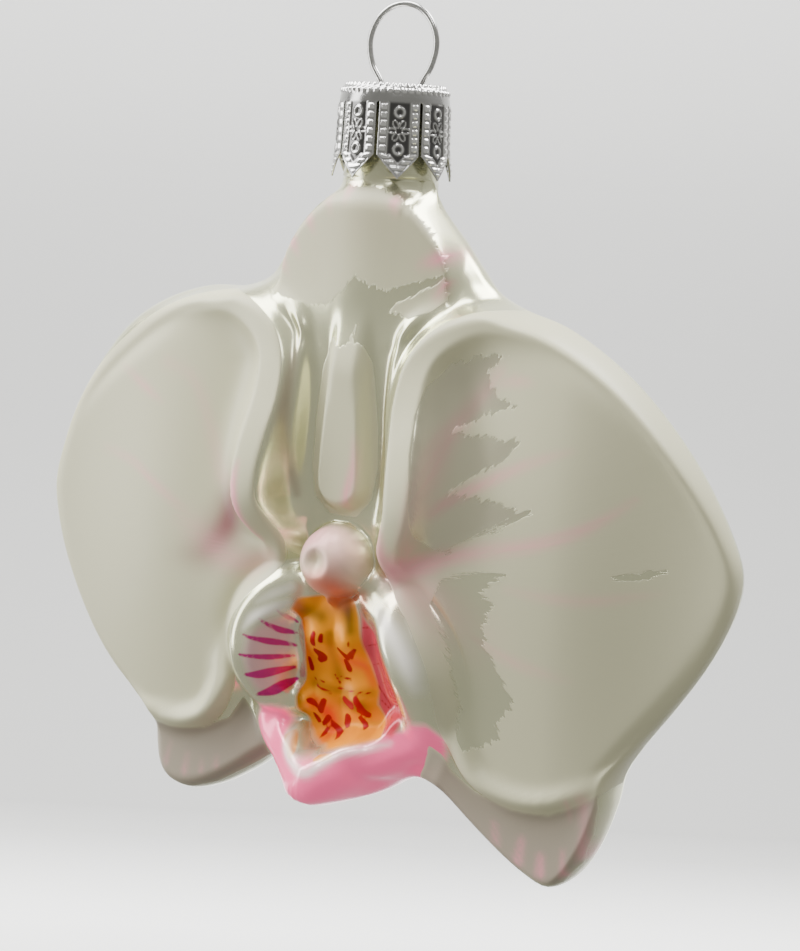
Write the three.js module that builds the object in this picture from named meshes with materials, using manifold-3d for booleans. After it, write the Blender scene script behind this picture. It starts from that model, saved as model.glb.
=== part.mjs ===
// A hanging ornament of mouth-blown glass, shaped as one moth-orchid blossom: two broad petals, a
// dorsal sepal above, two lateral sepals below, the column in the middle and the lip under it.
// A stamped crown cap sits on the glass neck, and a loop of spring wire through the cap hangs it.
//
// Millimetres, +Z up, the blossom faces -Y. The origin is the hanging point, inside the top of the
// wire loop. The glass is described in its own group, whose z is 0 at the middle of the blossom.

import * as THREE from 'three';
import { mergeVertices } from 'three/addons/utils/BufferGeometryUtils.js';
import Module from 'manifold-3d';

const wasm = await Module();
wasm.setup();

// Driving dimensions
const HANG_HEIGHT = 66.6;        // from the middle of the blossom up to the hanging point
const NECK_OFFSET = -0.7;        // the loose loop stands this far beside the neck's axis
const CLEARANCE = 0.3;           // running gap between pieces that touch on the real thing

const NECK_RADIUS = 5.9;         // where the neck grows out of the blossom
const NECK_FOOT = 46.0;
const NECK_MOUTH_RADIUS = 5.3;
const NECK_MOUTH = 56.4;
const NECK_RINGS = [             // outer radius and height of the neck above its foot
  [5.6, 47.6], [NECK_MOUTH_RADIUS, 50.0], [NECK_MOUTH_RADIUS, NECK_MOUTH]];
const WALL = 1.0;                // glass
const MIDDLE_Z = 4;              // the blossom's grids are stretched out from here

const CAP_TOP = 57.1;
const CAP_SHEET = 0.4;
const CAP_TIP_RADIUS = 7.3;
const CAP_TIP = 45.9;
const CAP_LINE = [               // radius and height, from the middle of the top to a tab's tip
  [0, CAP_TOP], [5.6, CAP_TOP], [6.15, 56.95], [6.5, 56.4], [6.75, 55.5], [6.95, 50.2],
  [CAP_TIP_RADIUS, CAP_TIP]];
const CAP_SIDES = 64;
const CAP_TAB_SHOULDER = 48.7;   // where each tab starts to narrow to its point
const CAP_TIP_WIDTH = 0.25;      // half width that is left at each tab's tip
const CAP_SLIT_TOP = 55.0;
const CAP_TABS = 8;
const CAP_SLIT = 0.35;
const CAP_TURN = 34.5;           // degrees from the front to the nearest tab's middle

const WIRE_RADIUS = 0.375;
const LOOP_HALF_WIDTH = 4.6;
const LOOP_HALF_HEIGHT = 5.0;
const LEG_SPREAD = 2.6;          // half the distance between the legs in the cap
const WIRE_LEG = [               // from its end in the neck up to the loop: outwards, height, share of
  [3.6, 47.0, 1], [3.35, 49.8, 1], [2.75, 53.4, 0.5],       // the neck's offset
  [LEG_SPREAD, CAP_TOP - 0.2, 0], [4.05, HANG_HEIGHT + WIRE_RADIUS - LOOP_HALF_HEIGHT - 2.4, 0]];
const ARC_STEPS = 8;
const WIRE_STEPS = 64;

const OUTER_CELLS = 46;
const INNER_CELLS = 22;
const NECK_CELLS = 10;           // grid cells over half the neck's round

// Small maths

function clamp(value, low, high) {
  return Math.min(high, Math.max(low, value));
}

function ease(t) {
  const s = clamp(t, 0, 1);
  return s * s * (3 - 2 * s);
}

function mix(a, b, t) {
  return a + (b - a) * t;
}

// 1 on a flat top, easing down to 0 over the width of the wall
function fall(distance, top, width) {
  return 1 - ease((distance - top) / width);
}

function bell(distance, width) {
  return Math.exp(-((distance / width) ** 2));
}

// The larger of two heights, with a rounded crease of radius k
function blendMax(a, b, k) {
  const t = clamp(0.5 + 0.5 * (a - b) / k, 0, 1);
  return mix(b, a, t) + k * t * (1 - t);
}

// A smooth line through the stations; every column of a station is carried along
function smoothLine(stations, steps, closed) {
  const count = stations.length;
  const at = (i) => (closed ? stations[(i + count) % count] : stations[clamp(i, 0, count - 1)]);
  const line = [];
  const spans = closed ? count : count - 1;
  for (let i = 0; i < spans; i += 1) {
    const [a, b, c, d] = [at(i - 1), at(i), at(i + 1), at(i + 2)];
    for (let step = 0; step < steps; step += 1) {
      const t = step / steps;
      line.push(b.map((_, k) => 0.5 * (2 * b[k] + (c[k] - a[k]) * t
        + (2 * a[k] - 5 * b[k] + 4 * c[k] - d[k]) * t * t
        + (3 * b[k] - a[k] - 3 * c[k] + d[k]) * t * t * t)));
    }
  }
  line.push(closed ? line[0] : stations[count - 1]);
  return line;
}

// The nearest point of a line: its distance, its side (left of travel is 1) and its other columns
function nearest(line, x, z) {
  let best = { distance: Infinity, side: 1, values: [] };
  for (let i = 0; i < line.length - 1; i += 1) {
    const [a, b] = [line[i], line[i + 1]];
    const [ex, ez] = [b[0] - a[0], b[1] - a[1]];
    const t = clamp(((x - a[0]) * ex + (z - a[1]) * ez) / (ex * ex + ez * ez + 1e-12), 0, 1);
    const distance = Math.hypot(x - a[0] - t * ex, z - a[1] - t * ez);
    if (distance < best.distance - 1e-9) {
      const side = ex * (z - a[1]) - ez * (x - a[0]) >= 0 ? 1 : -1;
      const values = a.slice(2).map((value, k) => mix(value, b[k + 2], t));
      best = { distance, side, values };
    }
  }
  return best;
}

// A line's other columns round it: means weighed by one over the fourth power of the distance
function sharedValues(line, x, z) {
  const totals = line[0].slice(2).map(() => 0);
  let weights = 0;
  for (const [lineX, lineZ, ...values] of line.slice(0, -1)) {
    const weight = ((x - lineX) ** 2 + (z - lineZ) ** 2 + CREST_SPREAD ** 2) ** -2;
    weights += weight;
    values.forEach((value, k) => { totals[k] += value * weight; });
  }
  return totals.map((total) => total / weights);
}

function isInside(line, x, z) {
  let inside = false;
  for (let i = 0; i < line.length - 1; i += 1) {
    const [[x0, z0], [x1, z1]] = [line[i], line[i + 1]];
    if ((z0 > z) !== (z1 > z) && x < (x1 - x0) * (z - z0) / (z1 - z0) + x0) inside = !inside;
  }
  return inside;
}

// The blossom's outline, half by half from the neck down to the lip's tip: x (outwards) and z
const RIGHT_OUTLINE = [
  [5.9, 46.0], [7.6, 42.6], [10.6, 38.9], [13.0, 35.9], [15.6, 33.0], [19.5, 31.2], [24.5, 29.7],
  [29.7, 26.9], [34.8, 23.1], [39.5, 18.4], [43.6, 13.2], [46.7, 8.0], [48.6, 3.4], [48.5, -0.6],
  [46.9, -5.2], [44.6, -9.6], [41.6, -14.2], [38.3, -18.9], [36.2, -22.6], [35.4, -26.5],
  [33.8, -31.4], [31.6, -35.4], [29.2, -37.5], [26.4, -36.9], [22.6, -34.9], [17.9, -31.7],
  [13.8, -28.7], [10.6, -27.6], [7.6, -28.4], [4.0, -30.6], [0.0, -32.0]];
const LEFT_OUTLINE = [
  [5.9, 46.0], [8.2, 42.8], [11.6, 38.9], [13.8, 36.2], [16.0, 33.2], [19.8, 31.6], [25.5, 31.2],
  [31.3, 29.3], [36.2, 25.8], [40.3, 20.8], [43.5, 15.4], [45.7, 9.6], [47.0, 4.4], [46.7, 0.2],
  [45.2, -5.2], [42.7, -10.6], [39.6, -15.6], [36.2, -19.6], [32.2, -22.8], [29.6, -25.2],
  [29.2, -29.0], [28.4, -32.4], [26.4, -34.4], [23.2, -35.0], [19.2, -33.6], [15.0, -31.0],
  [11.8, -28.6], [9.4, -27.6], [6.9, -29.3], [4.1, -31.4], [0.0, -32.0]];

// A petal's crest, round from its top by the channel: x, z, height, half width of its flat top, and
// the width of the walls outside and inside it. The petals differ from the bottom round the far side.
const CREST_BY_CHANNEL = [
  [17.4, 29.3, 8.0, 0.8, 2.4, 7.0], [12.8, 27.2, 9.0, 1.2, 3.0, 8.0],
  [10.4, 24.0, 9.9, 1.5, 3.2, 8.5], [9.9, 19.5, 11.2, 1.7, 3.2, 9.0],
  [10.4, 14.5, 13.0, 1.7, 3.4, 9.0], [10.8, 10.0, 14.2, 1.7, 3.6, 9.0],
  [10.6, 6.0, 14.4, 1.6, 3.4, 9.0], [9.2, 3.0, 13.0, 1.4, 3.0, 8.0],
  [8.3, 0.8, 10.8, 1.0, 2.4, 6.0], [9.7, -1.9, 8.0, 0.6, 3.0, 5.0],
  [13.2, -5.6, 7.6, 0.4, 4.0, 5.0], [16.0, -10.8, 7.5, 0.4, 4.4, 4.0]];
const RIGHT_CREST = [...CREST_BY_CHANNEL,
  [16.8, -15.6, 7.5, 0.5, 3.8, 4.0], [17.2, -20.0, 7.9, 0.8, 2.2, 3.0],
  [19.6, -24.2, 8.2, 0.6, 1.8, 1.6], [24.0, -26.0, 8.0, 0.5, 1.8, 1.4],
  [29.0, -25.8, 7.4, 0.4, 1.8, 1.4], [34.2, -22.8, 5.6, 0.4, 1.6, 1.6],
  [38.0, -18.2, 3.8, 0.3, 1.0, 1.6], [43.9, -9.6, 2.6, 0.3, 0.8, 1.6],
  [47.9, -1.0, 2.2, 0.3, 0.8, 1.6], [47.8, 3.6, 2.4, 0.3, 0.8, 1.6],
  [44.9, 10.0, 3.6, 0.4, 1.2, 1.8], [39.6, 16.9, 4.9, 0.4, 1.6, 2.2],
  [34.0, 22.5, 5.7, 0.5, 1.8, 3.0], [28.2, 26.7, 6.5, 0.6, 2.0, 4.0],
  [22.6, 28.9, 7.3, 0.7, 2.2, 6.0]];
const LEFT_CREST = [...CREST_BY_CHANNEL,
  [16.8, -15.6, 7.8, 0.5, 3.8, 4.0], [16.8, -18.6, 8.3, 0.8, 2.2, 3.0],
  [19.2, -22.6, 8.3, 0.6, 1.8, 1.8], [23.6, -24.4, 8.0, 0.5, 1.8, 1.6],
  [28.4, -23.8, 7.4, 0.4, 1.8, 1.6], [33.2, -20.8, 6.6, 0.4, 1.8, 1.6],
  [38.4, -17.6, 6.1, 0.4, 1.9, 1.6], [43.4, -9.4, 5.7, 0.4, 2.0, 1.6],
  [46.6, -1.6, 5.6, 0.4, 2.0, 1.6], [46.6, 3.6, 5.6, 0.4, 2.0, 1.6],
  [44.0, 10.6, 5.7, 0.4, 2.0, 1.8], [39.3, 17.2, 5.8, 0.4, 2.0, 2.2],
  [33.6, 22.7, 6.1, 0.5, 2.0, 3.0], [27.8, 26.9, 6.6, 0.6, 2.2, 4.0],
  [22.4, 28.9, 7.3, 0.7, 2.2, 6.0]];
const LEFT_FAR_LEVEL = 5.2;      // a petal's face at its far edge: the right one thins out there
const RIGHT_FAR_LEVEL = 2.2;
const CREST_SPREAD = 1.5;        // a station's height and walls are shared about this far along

const DORSAL_EDGE = [
  [12.6, 30.0], [12.4, 33.5], [12.0, 36.0], [10.6, 38.9], [8.4, 41.6], [6.0, 43.7], [3.4, 45.1],
  [0.0, 45.6]];
const PLATE_LEVEL = 7.3;         // the sepal's plate, the channel's floor, and the sepals below
const CHANNEL_LEVEL = 7.6;
const SEPAL_LEVEL = 5.4;
const SHOULDER_DEPTH = 7.2;
const SHOULDER_EDGE = 2.2;
const TONGUE_FOOT = 9.2;
const TONGUE_TOP = 31.0;
const TONGUE_HEIGHT = 2.0;
const TONGUE_HALF_WIDTH = 2.5;   // of its flat top at the foot, and at the top
const TONGUE_TOP_HALF_WIDTH = 1.5;
const TONGUE_WALL = 1.4;
const PETAL_LEVEL = 5.2;
const PETAL_SWELL = 3.4;
const HUB_SWELL = 1.8;

// Crests of the lip: x, z, height, wall outside, wall inside
const RIGHT_LOBE_CREST = [
  [5.0, -4.2, 9.2, 2.4, 2.4], [6.8, -5.4, 9.9, 3.2, 2.6], [8.6, -7.0, 11.2, 4.4, 3.4],
  [10.2, -9.8, 12.0, 5.2, 4.6], [11.6, -13.3, 11.8, 5.2, 5.2], [12.2, -16.6, 10.4, 4.4, 5.0],
  [11.8, -19.6, 8.6, 3.4, 3.4], [10.6, -21.6, 7.4, 2.4, 2.4]];
const LEFT_LOBE_CREST = [
  [-4.6, -4.6, 9.4, 2.4, 2.4], [-7.1, -5.5, 10.6, 3.2, 3.2], [-9.4, -7.4, 11.6, 3.8, 4.2],
  [-10.8, -10.2, 12.2, 4.0, 4.8], [-11.0, -13.4, 12.2, 3.8, 4.8], [-10.3, -16.4, 11.2, 3.4, 4.2],
  [-8.9, -18.5, 9.8, 2.6, 3.4], [-6.9, -19.4, 8.2, 1.4, 2.6], [-5.2, -19.0, 6.8, 1.0, 1.6]];
const LOBE_TOP = 0.9;            // half width of the rounded top
const MIDLOBE_CREST = [
  [-9.2, -21.0, 7.4, 2.4, 2.0], [-8.5, -23.0, 8.2, 2.4, 2.0], [-6.2, -24.8, 10.0, 2.8, 2.2],
  [-3.2, -26.0, 12.6, 3.2, 2.6], [-0.6, -26.8, 14.4, 3.4, 3.0], [1.6, -25.8, 13.8, 3.2, 2.6],
  [3.6, -24.4, 11.4, 2.8, 2.2], [6.0, -24.0, 9.6, 2.6, 2.0], [7.9, -22.8, 8.2, 2.4, 2.0],
  [9.2, -20.8, 7.4, 2.4, 2.2]];
const MIDLOBE_TOP = 1.1;
const CHIN_X = -0.8;
const CHIN_HEIGHT = 12.6;
const CALLUS_LUMPS = [[2.2, -10.6, 1.6], [2.6, -18.4, 1.5]];
const LUMP_WIDTH = 2.2;

const COLUMN_RADIUS = 4.5;
const COLUMN_Z = -0.6;
const COLUMN_REACH = 8.6;
const COLUMN_CHIN = 10.4;
const DIMPLE_DEPTH = 1.3;
const DIMPLE_RADIUS = 1.3;
const DIMPLE_RIM = 0.2;          // a low ring round the dimple
const DIMPLE_RIM_RADIUS = 2.0;
const DIMPLE_X = -0.8;

const BACK_LEVEL = 4.6;
const BACK_SWELL = 5.2;
const BACK_GROOVE = 0.7;
const EDGE_ROUNDING = 2.2;       // in front, by the lip; it is less at the petals' far edges
const BACK_ROUNDING = 6.5;
const HOLLOW_INSET = 1.7;        // the hollow's outline, and how its own edge is rounded
const HOLLOW_ROUNDING = 2.5;

const mirrored = (stations) => stations.map(([x, ...rest]) => [-x, ...rest]);

const outline = [
  ...smoothLine(RIGHT_OUTLINE, 6, false),
  ...smoothLine(mirrored(LEFT_OUTLINE), 6, false).reverse().slice(1)];
const closedOutline = [...outline, outline[0]];
const shoulder = smoothLine(RIGHT_OUTLINE.slice(0, 7), 4, false);
const rightCrest = smoothLine(RIGHT_CREST, 5, true);
const leftCrest = smoothLine(LEFT_CREST, 5, true);
const dorsalEdge = [
  ...smoothLine(DORSAL_EDGE, 4, false),
  ...smoothLine(mirrored(DORSAL_EDGE), 4, false).reverse().slice(1), [0, 22], DORSAL_EDGE[0]];
const rightLobeCrest = smoothLine(RIGHT_LOBE_CREST, 5, false);
const leftLobeCrest = smoothLine(LEFT_LOBE_CREST, 5, false);
const midlobeCrest = smoothLine(MIDLOBE_CREST, 5, false);

// Half the body's width at a height above the petals
function shoulderWidth(z) {
  if (z >= NECK_FOOT) return NECK_RADIUS;
  for (let i = 0; i < shoulder.length - 1; i += 1) {
    const [[x0, z0], [x1, z1]] = [shoulder[i], shoulder[i + 1]];
    if (z <= z0 && z >= z1) return mix(x0, x1, (z0 - z) / (z0 - z1 + 1e-9));
  }
  return shoulder[shoulder.length - 1][0];
}

// Body under the petals: a flat level that turns into the round shoulder below the neck
function bodyHeight(x, z) {
  const roundDepth = SHOULDER_DEPTH * Math.sqrt(Math.max(0, 1 - (x / shoulderWidth(z)) ** 2));
  return mix(SEPAL_LEVEL, Math.max(roundDepth, SHOULDER_EDGE), ease((z - 26) / 8));
}

// Dorsal sepal: a shallow domed plate with a crisp edge, running down into the channel
function addDorsalSepal(height, x, z) {
  const plate = PLATE_LEVEL - 0.01 * x * x + 0.5 * bell(x, 4.5);
  const { distance } = nearest(dorsalEdge, x, z);
  const inwards = isInside(dorsalEdge, x, z) ? distance : -distance;
  const withPlate = mix(height, Math.max(plate, height), ease((inwards + 0.2) / 1.2));
  const channel = ease((33 - z) / 9) * fall(Math.abs(x), 6, 4) * ease((z + 8) / 6);
  return mix(withPlate, CHANNEL_LEVEL, channel);
}

// The rounded tongue that the sepal's midrib ends in, narrower at its top
function addTongue(height, x, z) {
  const distance = Math.hypot(x, Math.min(0, z - TONGUE_FOOT));
  const halfWidth = mix(TONGUE_HALF_WIDTH, TONGUE_TOP_HALF_WIDTH, ease((z - TONGUE_FOOT) / 18));
  return height + TONGUE_HEIGHT * fall(distance, halfWidth, TONGUE_WALL) * ease((TONGUE_TOP - z) / 9);
}

// Outside its flat-topped crest a petal falls away; inside it drops steeply onto a swelling face
function addPetal(height, x, z, crest, farLevel) {
  const { distance } = nearest(crest, x, z);
  const [top, flat, outerWall, innerWall] = sharedValues(crest, x, z);
  if (!isInside(crest, x, z)) {
    return Math.max(height, mix(height, top, fall(distance, flat, outerWall)));
  }
  const swell = PETAL_SWELL * bell(x - 24, 14) * bell(z - 3, 30);
  const hub = HUB_SWELL * bell(Math.hypot(x - 11, (z + 4) / 1.6), 7);
  const face = mix(PETAL_LEVEL, farLevel, ease((x - 28) / 20)) + swell + hub;
  const inwards = clamp((distance - flat) / innerWall, 0, 1);
  return mix(face, top, (1 - inwards) ** 3.5);
}

// A rolled crest along an open line: a round shoulder outside it, a wall that levels out inside
function addCrest(height, x, z, crest, flat, outerSide) {
  const { distance, side, values: [top, outerWall, innerWall] } = nearest(crest, x, z);
  const share = side === outerSide ? 1 - clamp((distance - flat) / outerWall, 0, 1) ** 2
    : fall(distance, flat, innerWall);
  return Math.max(height, mix(height, top, share));
}

function addLip(height, x, z) {
  const across = Math.abs(x);
  const scoop = 5.2 + 3.3 * ease((z + 20) / 14);
  const opened = fall(across, 8.2, 2.5) * ease((-3 - z) / 2.5) * ease((z + 27) / 3);
  const chin = CHIN_HEIGHT * Math.exp(-((Math.abs(x - CHIN_X) / 7.2) ** 2.2)) * ease((-23 - z) / 4);
  let lip = Math.max(mix(height, scoop, opened), chin);
  lip = addCrest(lip, x, z, rightLobeCrest, LOBE_TOP, 1);
  lip = addCrest(lip, x, z, leftLobeCrest, LOBE_TOP, -1);
  lip = addCrest(lip, x, z, midlobeCrest, MIDLOBE_TOP, -1);
  for (const [lumpX, lumpZ, lumpHeight] of CALLUS_LUMPS) {
    lip += lumpHeight * bell(Math.hypot(across - lumpX, z - lumpZ), LUMP_WIDTH);
  }
  return lip;
}

// The column: a ball with a pointed chin, and a dimple with a low rim where the anther cap sits
function addColumn(height, x, z) {
  const out = Math.hypot(x, z - COLUMN_Z);
  const ball = out < COLUMN_RADIUS ? COLUMN_REACH + Math.sqrt(COLUMN_RADIUS ** 2 - out ** 2) : 0;
  const chin = COLUMN_CHIN * fall(Math.hypot(x / 0.8, (z + 5) / 1.4), 0.3, 2.2);
  const fromDimple = Math.hypot(x - DIMPLE_X, z - COLUMN_Z - 0.3);
  const dimple = DIMPLE_DEPTH * bell(fromDimple, DIMPLE_RADIUS);
  const rim = DIMPLE_RIM * bell(fromDimple - DIMPLE_RIM_RADIUS, 0.7);
  return blendMax(blendMax(height, ball, 0.6), chin, 0.6) - dimple + rim;
}

function edgeDistance(x, z, edge) {
  return isInside(edge, x, z) ? nearest(edge, x, z).distance : 0;
}

// A quarter round over the given width, from 0 at the edge to 1
function quarterRound(distance, width) {
  return Math.sqrt(1 - (1 - clamp(distance / width, 0, 1)) ** 2);
}

function neckHeight(x) {
  return Math.sqrt(Math.max(0, NECK_RADIUS ** 2 - x * x));
}

// How far the glass stands out in front of the seam plane, y = 0
function frontHeight(x, z) {
  let height = addTongue(addDorsalSepal(bodyHeight(x, z), x, z), x, z);
  const farRight = z < 26 ? ease((x - 34) / 10) * ease((z + 24) / 5) : 0;
  height = mix(height, Math.min(height, RIGHT_FAR_LEVEL), farRight);
  height = x < 0 ? addPetal(height, -x, z, leftCrest, LEFT_FAR_LEVEL)
    : addPetal(height, x, z, rightCrest, RIGHT_FAR_LEVEL);
  height = addColumn(addLip(height, x, z), x, z);
  const inwards = edgeDistance(x, z, closedOutline);
  const rounding = mix(mix(EDGE_ROUNDING, 1.0, ease(x / 40)), 1.2, ease((z - 29) / 6));
  return mix(height * quarterRound(inwards, rounding), neckHeight(x), ease((z - 42.5) / 3.4));
}

// How far the glass stands out behind the seam plane: soft, with a groove behind each petal's edge
function backHeight(x, z) {
  const swell = BACK_LEVEL + BACK_SWELL * Math.exp(-((x / 17) ** 2) - ((z - 6) / 24) ** 2);
  const groove = BACK_GROOVE * bell(nearest(x < 0 ? leftCrest : rightCrest, Math.abs(x), z).distance, 2.4)
    * fall(Math.abs(x), 24, 8);
  const inwards = edgeDistance(x, z, closedOutline);
  const height = (swell - groove) * quarterRound(inwards, BACK_ROUNDING);
  return mix(height, neckHeight(x), ease((z - 38) / 7.5));
}

// The hollow keeps at least one wall's thickness below everything near it
function hollowHeight(outside, x, z) {
  let lowest = outside(x, z);
  for (const reach of [2.0, 3.8]) {
    for (let i = 0; i < 12; i += 1) {
      const angle = (i / 12) * 2 * Math.PI;
      const [nearX, nearZ] = [x + reach * Math.cos(angle), z + reach * Math.sin(angle)];
      if (isInside(closedOutline, nearX, nearZ)) lowest = Math.min(lowest, outside(nearX, nearZ));
    }
  }
  return Math.max(0, lowest - WALL);
}

// The outline moved inwards, with its ends kept level at the neck's foot
function insetOutline(distance, neckInset) {
  const last = outline.length - 1;
  return outline.map(([x, z], i) => {
    if (i === 0 || i === last) return [x - Math.sign(x) * neckInset, z];
    const [[x0, z0], [x1, z1]] = [outline[i - 1], outline[i + 1]];
    const length = Math.hypot(x1 - x0, z1 - z0);
    const inset = mix(distance, neckInset, ease((z - 36) / 10));
    return [x + inset * (z1 - z0) / length, z - inset * (x1 - x0) / length];
  });
}

// How far the outline lies from the middle in the direction at an angle from straight up
function reachAt(line, angle) {
  const [dx, dz] = [Math.sin(angle), Math.cos(angle)];
  let reach = 0;
  for (let i = 0; i < line.length; i += 1) {
    const [x0, z0] = line[i];
    const [x1, z1] = line[(i + 1) % line.length];
    const [ex, ez] = [x1 - x0, z1 - z0];
    const cross = dx * ez - dz * ex;
    const t = (x0 * ez - (z0 - MIDDLE_Z) * ex) / cross;
    const along = (x0 * dz - (z0 - MIDDLE_Z) * dx) / cross;
    if (along >= -1e-9 && along <= 1 + 1e-9 && t > reach) reach = t;
  }
  return reach;
}

// A square grid stretched over the outline, closer in the middle and towards the edge
function stretchedGrid(cells, line) {
  const crowd = (t) => t * (0.58 + 0.42 * t * t);
  const onDisc = (i, j) => {
    const [u, v] = [crowd(2 * i / cells - 1), crowd(2 * j / cells - 1)];
    return [u * Math.sqrt(1 - v * v / 2), v * Math.sqrt(1 - u * u / 2)];
  };
  const [cornerX, cornerZ] = onDisc(cells / 2 + NECK_CELLS / 2, cells);
  const gridCorner = Math.atan2(cornerX, cornerZ);
  const neckHalf = line[0][0];
  const neckCorner = Math.atan2(neckHalf, NECK_FOOT - MIDDLE_Z);
  const points = [];
  for (let i = 0; i <= cells; i += 1) {
    for (let j = 0; j <= cells; j += 1) {
      const [discX, discZ] = onDisc(i, j);
      const out = Math.hypot(discX, discZ);
      const grid = Math.atan2(discX, discZ);
      const beyond = Math.max(0, Math.abs(grid) - gridCorner) / (Math.PI - gridCorner);
      const angle = Math.sign(grid) * (Math.min(Math.abs(grid), gridCorner) / gridCorner * neckCorner
        + beyond * (Math.PI - neckCorner));
      const crowded = out < 0.8 ? out * 1.078 : 0.8627 + 0.1373 * Math.sin((out - 0.8) * 2.5 * Math.PI);
      const reach = reachAt(line, angle) * Math.min(1, crowded);
      let x = reach * Math.sin(angle);
      const z = MIDDLE_Z + reach * Math.cos(angle);
      const onNeckRim = j === cells && Math.abs(i - cells / 2) <= NECK_CELLS / 2;
      if (onNeckRim) x = neckHalf * Math.sin((i - cells / 2) / NECK_CELLS * Math.PI);
      points.push([x, onNeckRim ? NECK_FOOT : z, onNeckRim]);
    }
  }
  return points;
}

// Front and back sheet on one grid, joined along the seam and open at the neck.
// Returns the triangles (facing out) and the neck's rim as a ring of points.
function pillow(cells, line, front, back) {
  const grid = stretchedGrid(cells, line);
  const neckHalf = line[0][0];
  const at = (i, j) => i * (cells + 1) + j;
  const isEdge = (i, j) => i === 0 || j === 0 || i === cells || j === cells;
  const sheets = [-1, 1].map((way) => grid.map(([x, z, onNeckRim], index) => {
    const [i, j] = [Math.floor(index / (cells + 1)), index % (cells + 1)];
    if (onNeckRim) return [x, way * Math.sqrt(Math.max(0, neckHalf ** 2 - x * x)), z];
    if (isEdge(i, j)) return [x, 0, z];
    return [x, way * (way < 0 ? front : back)(x, z), z];
  }));
  const triangles = [];
  sheets.forEach((sheet, k) => {
    for (let i = 0; i < cells; i += 1) {
      for (let j = 0; j < cells; j += 1) {
        const [a, b, c, d] = [at(i, j), at(i + 1, j), at(i + 1, j + 1), at(i, j + 1)];
        // each cell is cut along its shorter diagonal, but a corner cell never lies flat on the seam
        const span = (p, q) => Math.hypot(...sheet[p].map((value, k) => value - sheet[q][k]));
        const onCorner = (i === 0 || i === cells - 1) && (j === 0 || j === cells - 1);
        const fromCorner = (i === 0) === (j === 0);
        const alongFirst = onCorner ? fromCorner : span(a, c) < span(b, d);
        const halves = alongFirst ? [[a, b, c], [a, c, d]] : [[a, b, d], [b, c, d]];
        for (const half of halves) {
          const corners = half.map((index) => sheet[index]);
          triangles.push(k === 0 ? corners : corners.reverse());
        }
      }
    }
  });
  const rim = [];
  for (let step = -NECK_CELLS / 2; step <= NECK_CELLS / 2; step += 1) {
    rim.push(sheets[0][at(cells / 2 + step, cells)]);
  }
  for (let step = NECK_CELLS / 2 - 1; step > -NECK_CELLS / 2; step -= 1) {
    rim.push(sheets[1][at(cells / 2 + step, cells)]);
  }
  return { triangles, rim };
}

// A band of triangles between two rings of equally many points
function band(lower, upper) {
  return lower.flatMap((point, i) => {
    const next = (i + 1) % lower.length;
    return [[point, lower[next], upper[i]], [lower[next], upper[next], upper[i]]];
  });
}

function ringOf(rim, radius, z) {
  return rim.map(([x, y]) => {
    const scale = radius / Math.hypot(x, y);
    return [x * scale, y * scale, z];
  });
}

function geometryOf(triangles) {
  const geometry = new THREE.BufferGeometry();
  geometry.setAttribute('position', new THREE.Float32BufferAttribute(triangles.flat(2), 3));
  return geometry;
}

// The blown glass: one hollow shell, open at the neck's mouth
function glassGeometry() {
  const outer = pillow(OUTER_CELLS, outline, frontHeight, backHeight);
  const inset = insetOutline(HOLLOW_INSET, WALL);
  const closedInset = [...inset, inset[0]];
  const hollow = (outside) => (x, z) => (
    hollowHeight(outside, x, z) * quarterRound(edgeDistance(x, z, closedInset), HOLLOW_ROUNDING));
  const inner = pillow(INNER_CELLS, inset, hollow(frontHeight), hollow(backHeight));
  const outerRings = [outer.rim, ...NECK_RINGS.map(([radius, z]) => ringOf(outer.rim, radius, z))];
  const innerRings = [inner.rim, ...NECK_RINGS.map(([radius, z]) => ringOf(inner.rim, radius - WALL, z))];
  const triangles = [...outer.triangles];
  const reversed = (list) => list.map((corners) => [...corners].reverse());
  triangles.push(...reversed(inner.triangles));
  for (let i = 0; i < NECK_RINGS.length; i += 1) {
    triangles.push(...band(outerRings[i], outerRings[i + 1]));
    triangles.push(...reversed(band(innerRings[i], innerRings[i + 1])));
  }
  triangles.push(...band(outerRings.at(-1), innerRings.at(-1)));
  return geometryOf(triangles);
}

// Joins and cuts

function solidOf(geometry) {
  const plain = new THREE.BufferGeometry();
  plain.setAttribute('position', geometry.getAttribute('position').clone());
  if (geometry.index) plain.setIndex(geometry.index.clone());
  const merged = mergeVertices(plain, 1e-4);
  return new wasm.Manifold(new wasm.Mesh({
    numProp: 3,
    vertProperties: new Float32Array(merged.getAttribute('position').array),
    triVerts: new Uint32Array(merged.index.array),
  }));
}

function geometryFrom(solid) {
  const mesh = solid.getMesh();
  const geometry = new THREE.BufferGeometry();
  geometry.setAttribute('position', new THREE.BufferAttribute(mesh.vertProperties, 3));
  geometry.setIndex(new THREE.BufferAttribute(mesh.triVerts, 1));
  return geometry;
}

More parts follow.
